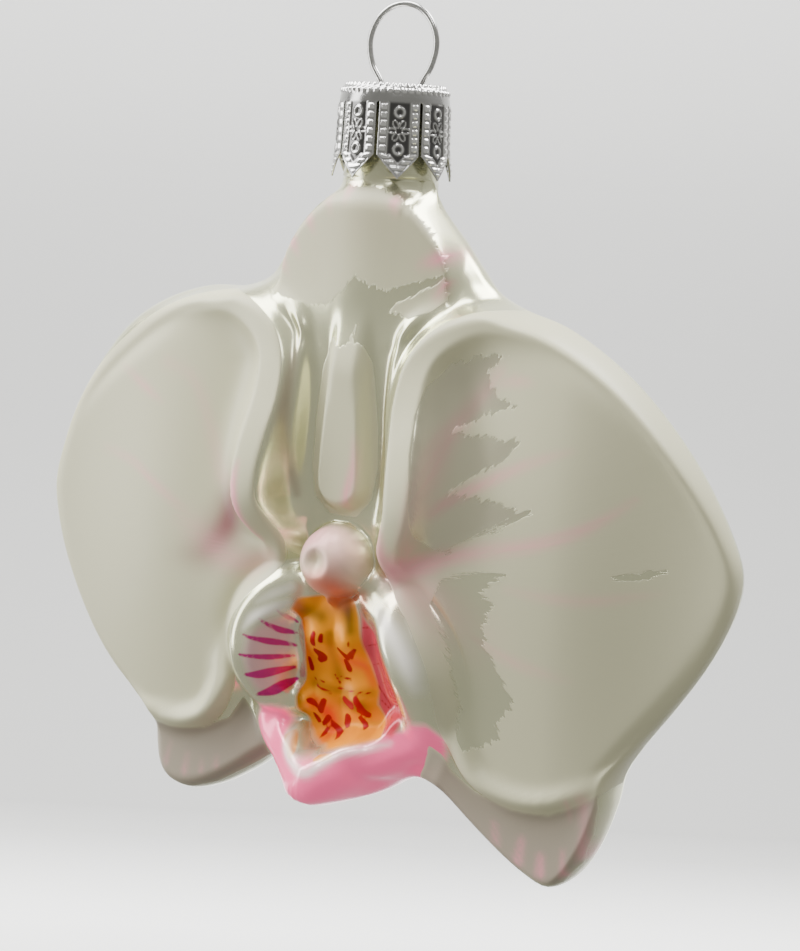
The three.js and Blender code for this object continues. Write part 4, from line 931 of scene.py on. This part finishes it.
# how soft each edge is, in millimetres
PAINT_EDGE = 0.09
SPOT_EDGE = 0.09
STROKE_EDGE = 0.12
THROAT_EDGE = 0.3
COLUMN_EDGE = 0.4
SEPAL_SHADE_EDGE = 0.6
SHADED_EDGE = 1.0
BRISTLE_SCALE = 1.6
BRISTLE_DRAWN_OUT = 0.12         # a step along the brush's way counts this much of one across it
FRAY_WIDTH = 3.4                 # how far a fully frayed edge wanders, in millimetres
HIGHLIGHT_COVER = 0.85
ROSE_COVER = 0.95
DRY_BRUSH_COVER = 0.6            # where the bristles leave least rose
BARE_SILVER = 0.78               # how metallic the silvered glass looks, bare and under lacquer
LACQUERED_SILVER = 0.15
BARE_ROUGHNESS = 0.24            # of bare glass, of the satin lacquer on column and throat, of paint
SATIN_ROUGHNESS = 0.42
PAINT_ROUGHNESS = 0.46
BARE_COAT = 0.5                  # the clear coat's weight, bare and where it is dulled
DULLED_COAT = 0.05
THROAT_DULLNESS = 0.9            # the throat keeps a little of it
COAT_ROUGHNESS = 0.1
BARE_SHINE = 0.5                 # specular level, bare and on satin lacquer
SATIN_SHINE = 0.15
# painted light: how strongly the pink lacquer glows
PINK_GLOW = 0.5               # the pink lacquer's own light
BRISTLE_RIDGES = 0.5             # their height as a share of the paint's
PAINT_THICKNESS = 0.00005        # metres
PAINT_RELIEF = 0.6

pearl_glass, tree, shader = new_material("hand_painted_glass")
brush = wire_up(tree, "ShaderNodeCombineXYZ", {
    "X": field_of(tree, "brush_across"),
    "Y": product_of(tree, field_of(tree, "brush_along"), BRISTLE_DRAWN_OUT)})
bristles = wire_up(tree, "ShaderNodeTexNoise", {"Vector": brush, "Scale": BRISTLE_SCALE, "Detail": 5.0,
                                                "Roughness": 0.65})
fray = product_of(tree, math_of(tree, "SUBTRACT", bristles, 0.5), field_of(tree, "fray"), FRAY_WIDTH)
painted = inside_of(tree, math_of(tree, "ADD", field_of(tree, "cover"), fray), PAINT_EDGE)
in_throat = inside_of(tree, field_of(tree, "throat"), THROAT_EDGE)
on_column = inside_of(tree, field_of(tree, "column"), COLUMN_EDGE)
throat_colour = laid_over(tree, AMBER, FLAME, field_of(tree, "throat_flame"))
# the olive over the amber is painted shade below the column, in the throat's pits and along its middle
throat_colour = laid_over(tree, throat_colour, OLIVE_SHADE, field_of(tree, "throat_shade"))
# the sepals' darker taupe is painted shade where they lie below the petals
matte = laid_over(tree, MATTE_WHITE, SEPAL_SHADE_TAUPE, inside_of(tree, field_of(tree, "sepals"), SEPAL_SHADE_EDGE))
dry_brush = between(tree, bristles, DRY_BRUSH_COVER, 1.0, start=0.3, end=0.6)

# every lacquer and paint in the order in which it is laid on, with where it goes
LAYERS = [
    # a slightly darker pearl on the right petal's bare glass above the hub: painted shade
    (SHADED_PEARL, inside_of(tree, field_of(tree, "shaded"), SHADED_EDGE)),
    (LIP_LACQUER, field_of(tree, "lip_pink")),
    (WALL_CORAL, field_of(tree, "wall_coral")),
    (LOBE_ROSE, field_of(tree, "lobe_rose")),
    (throat_colour, in_throat),
    (MAGENTA, inside_of(tree, field_of(tree, "lobe_strokes"), STROKE_EDGE)),
    (DARK_RED, inside_of(tree, field_of(tree, "spots"), SPOT_EDGE)),
    (AMBER, inside_of(tree, field_of(tree, "orange_dabs"), STROKE_EDGE)),
    (COLUMN_PINK, product_of(tree, on_column, field_of(tree, "column_rose"))),
    (CORAL, field_of(tree, "column_coral")),
    # white laid along the lip's rolled edges: painted highlights
    (HIGHLIGHT_WHITE, product_of(tree, field_of(tree, "painted_highlight"), HIGHLIGHT_COVER)),
    (matte, painted),
    # dusky mauve: pink blush, and painted shade in the hollow by the left petal's crest, in the channel
    # and on the top sepal
    (SHADE_MAUVE, field_of(tree, "blush_and_shade")),
    (PALE_ROSE, product_of(tree, field_of(tree, "rose"), dry_brush, ROSE_COVER))]
tint = PEARL
for lacquer, mask in LAYERS:
    tint = laid_over(tree, tint, lacquer, mask)

# silvered glass shows least under thick paint, and the lacquers dull it: a satin column and throat
lacquered = in_throat
# the painted highlights' white dulls the silver as the lacquers do
for field in ("lip_pink", "wall_coral", "lobe_rose", "painted_highlight"):
    lacquered = math_of(tree, "MAXIMUM", lacquered, field_of(tree, field))
silver = between(tree, lacquered, BARE_SILVER, LACQUERED_SILVER)
silver = between(tree, on_column, silver, LACQUERED_SILVER)
unpainted = math_of(tree, "SUBTRACT", 1.0, painted)
satin = math_of(tree, "MAXIMUM", on_column, in_throat)
glass_roughness = between(tree, satin, BARE_ROUGHNESS, SATIN_ROUGHNESS)
dulled = math_of(tree, "MAXIMUM", product_of(tree, in_throat, THROAT_DULLNESS), on_column)
dulled = math_of(tree, "MAXIMUM", dulled, painted)
# painted light: the pink lacquer glows a little, as fluorescent lacquer would, so it gives back more light
# than falls on it
out_of_throat = math_of(tree, "SUBTRACT", 1.0, in_throat)
pink_glow = product_of(tree, field_of(tree, "lip_pink"), out_of_throat, PINK_GLOW)
paint_body = math_of(tree, "ADD", painted, product_of(tree, bristles, painted, BRISTLE_RIDGES))
relief = wire_up(tree, "ShaderNodeBump", {"Height": paint_body, "Strength": PAINT_RELIEF,
                                          "Distance": PAINT_THICKNESS})
feed(tree, shader, {
    "Base Color": tint,
    "Metallic": product_of(tree, silver, unpainted),
    "Roughness": between(tree, painted, glass_roughness, PAINT_ROUGHNESS),
    "Coat Weight": between(tree, dulled, BARE_COAT, DULLED_COAT),
    "Coat Roughness": COAT_ROUGHNESS,
    "Specular IOR Level": between(tree, satin, BARE_SHINE, SATIN_SHINE),
    "Emission Color": tint,
    "Emission Strength": pink_glow,
    "Normal": relief})
glass.data.materials.append(pearl_glass)
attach(glass, "root")
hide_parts("glass_blossom")


# The crown cap: stamped from thin bright tinplate, a disc with a skirt slit into eight pointed tabs
# that grip the glass neck. Beads, rings and a small flower are pressed into every tab from inside.

CAP_TABS = 8
CAP_TURN = np.radians(34.5)      # from the front to the nearest tab's middle
CAP_TIP = 45.9
CAP_TAB_SHOULDER = 48.7          # where each tab starts to narrow to its point
CAP_SLIT_TOP = 55.0
CAP_SLIT = 0.35
CAP_SHEET = 0.22
TAB_COLUMNS = 40
CAP_ROW_STEP = 0.125
DISC_ROWS = 30
CAP_TIP_SHARE = 0.03             # a tab's width at its tip, as a share of its full width
WELD_DISTANCE = 0.02
# the skirt's and the top's outer line: radius and height
CAP_LINE = [(7.3, 45.9), (7.08, 48.2), (6.94, 50.2), (6.84, 53.2), (6.76, 55.2), (6.62, 56.0),
            (6.42, 56.6), (6.05, 57.0), (5.6, 57.1), (4.4, 57.1), (2.8, 57.1), (1.4, 57.1), (0.2, 57.1)]
DISC_RADIUS = 5.4                # rows are coarser inside this
WIRE_HOLE = 0.675
LEG_SPREAD = 2.6                 # half the distance between the legs in the cap
BEAD_PITCH = 0.98
BORDER = 0.62                    # from a tab's edge to the middle of its beads
BEAD_HEIGHT = 0.20
BEAD_HALF_ACROSS = 0.26          # of its flat top, across and, in beads, along; then its edge
BEAD_HALF_ALONG = 0.22
BEAD_EDGE = 0.16
HEM_HEIGHT = 0.07                # a fine ridge along the tab's edge, and one inside the beads
HEM_PLACES = (0.08, 1.14)
HEM_WIDTH = 0.1
PANEL_DEPTH = 0.10
PANEL_EDGE = 1.15
PANEL_SLOPE = 0.2
RINGS = (53.75, 49.35)           # heights of the two rings
RING_HEIGHT = 0.22
RING_RADIUS = 0.55
RING_WIDTH = 0.15
FLOWER = 51.55                   # height of the flower between them
FLOWER_HEIGHT = 0.20
FLOWER_PETALS = 6
PETAL_MIDDLE = 0.85              # from the flower's middle, with the petal's half length and half width
PETAL_HALF_LENGTH = 0.5
PETAL_HALF_WIDTH = 0.30
PETAL_LINE = 0.09
STAMP_TOP = 55.1                 # the stamping fades out below the plain band at the top
STAMP_FADE = 0.4
POINT_INWARDS = 0.73             # on a tab's slanted point, steps in from its edge and along it
POINT_ALONG = 1.42
RIM_BEADS = 6                    # beads of the top rim over one tab
RIM_ROWS = ((6.52, 56.35, 0.0), (5.95, 57.05, 0.5))   # radius, height, shift in beads
RIM_BEAD_HEIGHT = 0.24
RIM_BEAD_WIDTH = 0.26            # across its row, and along it as a half flat top with its edge, in beads
RIM_BEAD_HALF = 0.2


def grid_quads(rows, columns):
    """Four-sided faces over points numbered row by row."""
    i, j = np.meshgrid(np.arange(rows - 1), np.arange(columns - 1), indexing="ij")
    a = (i * columns + j).ravel()
    return np.c_[a, a + 1, a + columns + 1, a + columns]


def pad(across, half_width, edge):
    """1 over a flat top on both sides of a line, easing to 0 over its edge."""
    return fall(np.abs(across), half_width, edge)


def tab_relief(s, z, half_width):
    """Pressed height over a tab: beads along its edge, then two rings and a flower on a sunk panel."""
    slanted = z < CAP_TAB_SHOULDER
    inwards = (half_width - np.abs(s)) * np.where(slanted, POINT_INWARDS, 1)
    length = np.where(slanted, CAP_TAB_SHOULDER - (CAP_TAB_SHOULDER - z) * POINT_ALONG, z)
    beat = (length / BEAD_PITCH) % 1 - 0.5
    relief = BEAD_HEIGHT * pad(inwards - BORDER, BEAD_HALF_ACROSS, BEAD_EDGE)
    relief = relief * pad(beat, BEAD_HALF_ALONG, BEAD_EDGE)
    for place in HEM_PLACES:
        relief = relief + HEM_HEIGHT * bell(inwards - place, HEM_WIDTH)
    relief = relief - PANEL_DEPTH * ease((inwards - PANEL_EDGE) / PANEL_SLOPE)
    for ring_z in RINGS:
        relief = relief + RING_HEIGHT * bell(np.hypot(s, z - ring_z) - RING_RADIUS, RING_WIDTH)
    turn = np.arctan2(s, z - FLOWER)
    folded = (turn / (2 * np.pi) * FLOWER_PETALS) % 1 - 0.5
    out = np.hypot(s, z - FLOWER)
    along_petal = (out - PETAL_MIDDLE) / PETAL_HALF_LENGTH
    petal_half = PETAL_HALF_WIDTH * np.sqrt(np.maximum(0, 1 - along_petal ** 2))
    beside = np.abs(folded) * 2 * np.pi / FLOWER_PETALS * out
    flower = bell(beside - petal_half, PETAL_LINE) * (np.abs(along_petal) < 1.04)
    relief = relief + FLOWER_HEIGHT * flower
    return relief * ease((STAMP_TOP - z) / STAMP_FADE)


def rim_relief(share, radius, z):
    """Two rows of small beads round the edge of the top, half a bead apart."""
    relief = 0
    for row_radius, row_z, shift in RIM_ROWS:
        beat = (share * RIM_BEADS + shift) % 1 - 0.5
        off_row = np.hypot(radius - row_radius, z - row_z)
        relief = relief + RIM_BEAD_HEIGHT * bell(off_row, RIM_BEAD_WIDTH) * pad(
            beat, RIM_BEAD_HALF, RIM_BEAD_HALF)
    return relief


line = smooth_line(CAP_LINE, 40)
run = np.concatenate([[0], np.cumsum(np.hypot(*np.diff(line, axis=0).T))])
disc_run = np.interp(-DISC_RADIUS, -line[:, 0], run)
rows = np.concatenate([np.arange(0, disc_run, CAP_ROW_STEP), np.linspace(disc_run, run[-1], DISC_ROWS)])
row_radius, row_z = (np.interp(rows, run, line[:, k]) for k in (0, 1))
slope_r, slope_z = np.gradient(row_radius, rows), np.gradient(row_z, rows)
steep = np.hypot(slope_r, slope_z)
share = np.linspace(-1, 1, TAB_COLUMNS + 1)[None, :]
radius, z = row_radius[:, None], row_z[:, None]
full_width = np.pi * radius / CAP_TABS
slit = np.where((z < CAP_SLIT_TOP) & (radius > DISC_RADIUS), CAP_SLIT / 2, 0)
point = np.clip((z - CAP_TIP) / (CAP_TAB_SHOULDER - CAP_TIP), CAP_TIP_SHARE, 1)
half_width = (full_width - slit) * np.where(radius > DISC_RADIUS, point, 1)
s = share * half_width
pressed = tab_relief(s, z, half_width) * (radius > DISC_RADIUS)
pressed = pressed + rim_relief((share + 1) / 2, radius, z)
pressed_radius = radius + pressed * (slope_z / steep)[:, None]
pressed_z = z - pressed * (slope_r / steep)[:, None]
tab_angle = s / radius
cap_points, cap_faces, cap_pressed = [], [], []
for tab in range(CAP_TABS):
    turn = CAP_TURN - np.pi / 2 + tab * 2 * np.pi / CAP_TABS + tab_angle
    cap_faces.append(grid_quads(*turn.shape)[:, ::-1] + tab * turn.size)
    cap_points.append(np.stack([pressed_radius * np.cos(turn), pressed_radius * np.sin(turn),
                                pressed_z + 0 * turn], axis=-1).reshape(-1, 3))
    cap_pressed.append(pressed.ravel())
cap_points, cap_faces = np.vstack(cap_points), np.vstack(cap_faces)

# the holes for the wire: points inside a hole move out to its edge, and faces inside it go
pierced = np.zeros(len(cap_points), bool)
for side in (-1, 1):
    hole_middle = np.array([side * LEG_SPREAD - NECK_OFFSET, 0])
    from_middle = cap_points[:, :2] - hole_middle
    reach = np.linalg.norm(from_middle, axis=1)
    inside_hole = (reach < WIRE_HOLE) & (cap_points[:, 2] > CAP_SLIT_TOP)
    cap_points[inside_hole, :2] = hole_middle + from_middle[inside_hole] * (
        WIRE_HOLE / np.maximum(reach[inside_hole], 1e-6))[:, None]
    pierced |= inside_hole
cap_faces = cap_faces[~pierced[cap_faces].all(axis=1)]
cap = mesh_piece("crown_cap_stamped", placed(cap_points), cap_faces)
give_field(cap, "pressed", np.concatenate(cap_pressed))
welding = bmesh.new()
welding.from_mesh(cap.data)
bmesh.ops.remove_doubles(welding, verts=welding.verts, dist=WELD_DISTANCE * MM)
loose = [vert for vert in welding.verts if not vert.link_faces]
bmesh.ops.delete(welding, geom=loose, context="VERTS")
bmesh.ops.recalc_face_normals(welding, faces=welding.faces)
welding.to_mesh(cap.data)
welding.free()
sheet = cap.modifiers.new("sheet", "SOLIDIFY")
sheet.thickness = CAP_SHEET * MM
sheet.offset = -1

worked_metal = bpy.data.node_groups.new("worked_metal", "ShaderNodeTree")
for name, way in (("Place", "INPUT"), ("Scale", "INPUT"), ("Smoothest", "INPUT"), ("Roughest", "INPUT"),
                  ("Haze", "OUTPUT"), ("Roughness", "OUTPUT")):
    kind = "NodeSocketVector" if name == "Place" else "NodeSocketFloat"
    worked_metal.interface.new_socket(name, in_out=way, socket_type=kind)
given = worked_metal.nodes.new("NodeGroupInput").outputs
haze = wire_up(worked_metal, "ShaderNodeTexNoise", {"Vector": given["Place"], "Scale": given["Scale"],
                                                    "Detail": 3.0})
feed(worked_metal, worked_metal.nodes.new("NodeGroupOutput"), {
    "Haze": haze, "Roughness": between(worked_metal, haze, given["Smoothest"], given["Roughest"])})


def metal_surface(tree, shader, grain, smoothest, roughest):
    """Bare worked metal: roughness wanders between two values; gives the haze that drives it."""
    place = wire_up(tree, "ShaderNodeTexCoord", {}, output="Object")
    haze = wire_up(tree, "ShaderNodeGroup", {"Place": place, "Scale": grain, "Smoothest": smoothest,
                                             "Roughest": roughest}, output="Haze", node_tree=worked_metal)
    feed(tree, shader, {"Roughness": haze.node.outputs["Roughness"], "Metallic": 1.0})
    return haze


# the tin is painted dark in its pressed hollows and bright on its heights: painted shade and painted
# highlight
TIN_HOLLOW_SHADE = colour(62, 61, 60)
TIN_HEIGHT_HIGHLIGHT = colour(236, 235, 232)
PRESSED_RANGE = 0.12             # pressed heights between which the tin goes from dark to bright

stamped_tin, tree, shader = new_material("stamped_tinplate")
high = between(tree, field_of(tree, "pressed"), 0.0, 1.0, start=-PRESSED_RANGE, end=PRESSED_RANGE)
feed(tree, shader, {"Base Color": laid_over(tree, TIN_HOLLOW_SHADE, TIN_HEIGHT_HIGHLIGHT, high)})
metal_surface(tree, shader, grain=900.0, smoothest=0.1, roughest=0.26)
cap.data.materials.append(stamped_tin)
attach(cap, "root")
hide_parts("crown_cap")


# The hanging loop: one length of drawn steel spring wire. Its legs pass through the cap, spread in
# the neck and hold the cap down; above it the wire is bowed into a tall oval.

WIRE_RADIUS = 0.375
WIRE_SIDES = 24
LOOP_HALF_WIDTH = 4.6
LOOP_HALF_HEIGHT = 5.0
LOOP_MIDDLE = HANG_HEIGHT + WIRE_RADIUS - LOOP_HALF_HEIGHT
CAP_TOP = CAP_LINE[-1][1]
ARC_STEPS = 8

leg = [(3.6, 47.0, 1), (3.35, 49.8, 1), (2.75, 53.4, 0.5), (LEG_SPREAD, CAP_TOP - 0.2, 0),
       (4.05, LOOP_MIDDLE - 2.4, 0)]   # outwards, height, share of the neck's offset
arc_turn = np.pi * (1 - np.arange(ARC_STEPS + 1) / ARC_STEPS)
arc = np.c_[LOOP_HALF_WIDTH * np.cos(arc_turn), LOOP_MIDDLE + LOOP_HALF_HEIGHT * np.sin(arc_turn)]
legs = [[(side * out + offset * NECK_OFFSET, height) for out, height, offset in leg]
        for side in (-1, 1)]
route = smooth_line(np.vstack([legs[0], arc, legs[1][::-1]]), 10)
way = np.gradient(route, axis=0)
way /= np.linalg.norm(way, axis=1)[:, None]
round_turn = np.arange(WIRE_SIDES) / WIRE_SIDES * 2 * np.pi
end_turn = np.radians([0, 30, 60, 85])
# rings along the route, with a rounded end before its first and after its last point
ring_middle = np.vstack([route[0] - way[0] * WIRE_RADIUS * np.sin(end_turn[::-1])[:, None], route[1:-1],
                         route[-1] + way[-1] * WIRE_RADIUS * np.sin(end_turn)[:, None]])
ring_way = np.vstack([np.repeat(way[:1], len(end_turn), axis=0), way[1:-1],
                      np.repeat(way[-1:], len(end_turn), axis=0)])
ring_radius = WIRE_RADIUS * np.concatenate([np.cos(end_turn[::-1]), np.ones(len(route) - 2),
                                            np.cos(end_turn)])
in_plane = np.c_[-ring_way[:, 1], ring_way[:, 0]]
swing = ring_radius[:, None] * np.cos(round_turn)
wire_points = np.stack([ring_middle[:, :1] + in_plane[:, :1] * swing - NECK_OFFSET,
                        ring_radius[:, None] * np.sin(round_turn),
                        ring_middle[:, 1:] + in_plane[:, 1:] * swing], axis=-1).reshape(-1, 3)
ring_count = len(ring_middle)
wire_numbers = np.arange(ring_count * WIRE_SIDES).reshape(ring_count, WIRE_SIDES)
bands = [ring_band(lower, upper) for lower, upper in zip(wire_numbers[:-1], wire_numbers[1:])]
ends = [np.c_[ring, np.roll(ring, turn), np.full(WIRE_SIDES, middle)] for ring, turn, middle in (
    (wire_numbers[0], 1, wire_numbers.size), (wire_numbers[-1], -1, wire_numbers.size + 1))]
tips = np.array([[end[0] - NECK_OFFSET, 0, end[1]] for end in (
    route[0] - way[0] * WIRE_RADIUS, route[-1] + way[-1] * WIRE_RADIUS)])
wire = mesh_piece("hanging_wire_loop", placed(np.vstack([wire_points, tips])), np.vstack(bands + ends))

STEEL_DULL = colour(176, 175, 172)
STEEL_BRIGHT = colour(222, 221, 218)

spring_steel, tree, shader = new_material("drawn_spring_steel")
drawn = metal_surface(tree, shader, grain=2200.0, smoothest=0.1, roughest=0.24)
feed(tree, shader, {"Base Color": laid_over(tree, STEEL_DULL, STEEL_BRIGHT, drawn)})
wire.data.materials.append(spring_steel)
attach(wire, "root")
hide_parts("hanging_wire")


# The studio: one sheet of pale card that lies behind the ornament and curves up, lit brighter at its
# foot and its top, with soft boxes above, behind and at the left and a small one high at the front
# right. The camera looks from the front right, a little above.

CAMERA_YAW = np.radians(29)
CAMERA_PITCH = np.radians(8)
CAMERA_ROLL = np.radians(3)
CAMERA_DISTANCE = 0.27
CAMERA_TARGET = np.array([-0.7, 0, -58.6]) * MM
LONG_SIDE = 951                  # pixels of the picture
FOCAL_PIXELS = 8 * 270           # pixels to the millimetre, times the distance in millimetres
SENSOR = 36
SHIFT_X, SHIFT_Y = 0.02636, 0.0096

towards_camera = np.array([np.sin(CAMERA_YAW) * np.cos(CAMERA_PITCH),
                           -np.cos(CAMERA_YAW) * np.cos(CAMERA_PITCH), np.sin(CAMERA_PITCH)])
level_right = np.array([np.cos(CAMERA_YAW), np.sin(CAMERA_YAW), 0])
level_up = np.cross(towards_camera, level_right)
camera_right = np.cos(CAMERA_ROLL) * level_right + np.sin(CAMERA_ROLL) * level_up
camera_up = np.cos(CAMERA_ROLL) * level_up - np.sin(CAMERA_ROLL) * level_right
camera = bpy.data.objects.new("camera", bpy.data.cameras.new("camera"))
bpy.context.collection.objects.link(camera)
camera_place = CAMERA_TARGET + CAMERA_DISTANCE * towards_camera
camera.matrix_world = Matrix([
    [camera_right[k], camera_up[k], towards_camera[k], camera_place[k]] for k in range(3)]
    + [[0, 0, 0, 1]])
camera.data.sensor_width = SENSOR
camera.data.lens = FOCAL_PIXELS * SENSOR / LONG_SIDE
camera.data.shift_x = SHIFT_X
camera.data.shift_y = SHIFT_Y
camera.data.clip_start = 0.01
bpy.context.scene.camera = camera

CARD_FLOOR = -0.315
CARD_BEND_START = 0.55           # behind the ornament
CARD_BEND_RADIUS = 0.3
CARD_TOP = 1.2
CARD_HALF_WIDTH = 1.6
CARD_FRONT = 0.3                 # it starts this far behind the ornament
GLOW_START = 0.35                # the light on its foot sets in this far behind the ornament
FOOT_GLOW = 2.1
FOOT_GLOW_HEIGHT = 0.018
TOP_GLOW = 0.8
TOP_GLOW_START = 0.15            # height at which the upper light sets in, and over which it grows
TOP_GLOW_BLEND = 0.23
WALL_ROWS = [0.34, 0.4, CARD_TOP]

bend = np.linspace(0, np.pi / 2, 24)
card_depth = np.concatenate([[CARD_FRONT, GLOW_START], CARD_BEND_START + CARD_BEND_RADIUS * np.sin(bend),
                             np.full(len(WALL_ROWS), CARD_BEND_START + CARD_BEND_RADIUS)])
card_height = np.concatenate([[0, 0], CARD_BEND_RADIUS * (1 - np.cos(bend)), WALL_ROWS])
foot_glow = FOOT_GLOW * np.clip(1 - card_height / FOOT_GLOW_HEIGHT, 0, 1) ** 2 * (card_depth > GLOW_START)
top_glow = TOP_GLOW * np.clip((card_height - TOP_GLOW_START) / TOP_GLOW_BLEND, 0, 1) ** 2
card_across = np.array([-CARD_HALF_WIDTH, CARD_HALF_WIDTH])
depth, across = np.meshgrid(card_depth, card_across, indexing="ij")
card_points = np.stack([
    across * np.cos(CAMERA_YAW) - depth * np.sin(CAMERA_YAW),
    across * np.sin(CAMERA_YAW) + depth * np.cos(CAMERA_YAW),
    np.repeat(card_height[:, None] + CARD_FLOOR, 2, axis=1)], axis=-1).reshape(-1, 3)
card = mesh_piece("studio_card", card_points, grid_quads(len(card_depth), 2))
give_field(card, "glow", np.repeat(foot_glow + top_glow, 2))
CARD_GREY = (0.64, 0.64, 0.627, 1)
GLOW_WHITE = (1, 1, 0.985, 1)
card_material, tree, shader = new_material("pale_card")
feed(tree, shader, {"Base Color": CARD_GREY, "Roughness": 0.9, "Emission Color": GLOW_WHITE,
                    "Emission Strength": field_of(tree, "glow")})
card.data.materials.append(card_material)

LIT_POINT = (0, 0, -0.06)        # the middle of the ornament, which every box faces
SOFT_BOXES = [                   # name, place, width, height, power in watts
    ("box_left_above", (-0.52, -0.20, 0.45), 0.5, 0.4, 8),
    ("box_overhead", (-0.20, -0.05, 0.70), 0.5, 0.4, 8),
    ("box_rim", (0.25, 0.40, 0.55), 0.5, 0.3, 9),
    ("box_left", (-0.66, -0.36, 0.0), 0.3, 0.6, 4),
    ("box_strip_right", (0.26, -0.42, 0.5), 0.12, 0.3, 1),
]
for name, place, width, tall, power in SOFT_BOXES:
    light = bpy.data.lights.new(name, "AREA")
    light.shape = "RECTANGLE"
    light.size = width
    light.size_y = tall
    light.energy = power
    box = bpy.data.objects.new(name, light)
    box.location = place
    box.rotation_euler = (Vector(LIT_POINT) - Vector(place)).to_track_quat("-Z", "Y").to_euler()
    bpy.context.collection.objects.link(box)

# the room is bright above and behind, and dim on the camera's side; only the camera sees it pale
ROOM_BRIGHT = (0.6, 0.6, 0.59, 1)
ROOM_DIM = (0.38, 0.38, 0.36, 1)
ROOM_SEEN = (1.1, 1.1, 1.08, 1)
BRIGHT_WAY = (-0.25, 0.66, 0.7)
DIM_BELOW = -0.35                # how far along that way the room is still dim, and is fully bright
BRIGHT_ABOVE = 0.6
world = bpy.data.worlds.new("studio_room")
world.use_nodes = True
tree = world.node_tree
looking = wire_up(tree, "ShaderNodeTexCoord", {}, output="Generated")
towards_light = wire_up(tree, "ShaderNodeVectorMath", {0: looking, 1: BRIGHT_WAY}, output="Value",
                        operation="DOT_PRODUCT")
lightness = wire_up(tree, "ShaderNodeMapRange", {
    "Value": towards_light, "From Min": DIM_BELOW, "From Max": BRIGHT_ABOVE},
    interpolation_type="SMOOTHSTEP")
seen = wire_up(tree, "ShaderNodeLightPath", {}, output="Is Camera Ray")
room = laid_over(tree, ROOM_DIM, ROOM_BRIGHT, lightness)
feed(tree, tree.nodes["Background"], {"Color": laid_over(tree, room, ROOM_SEEN, seen)})
bpy.context.scene.world = world
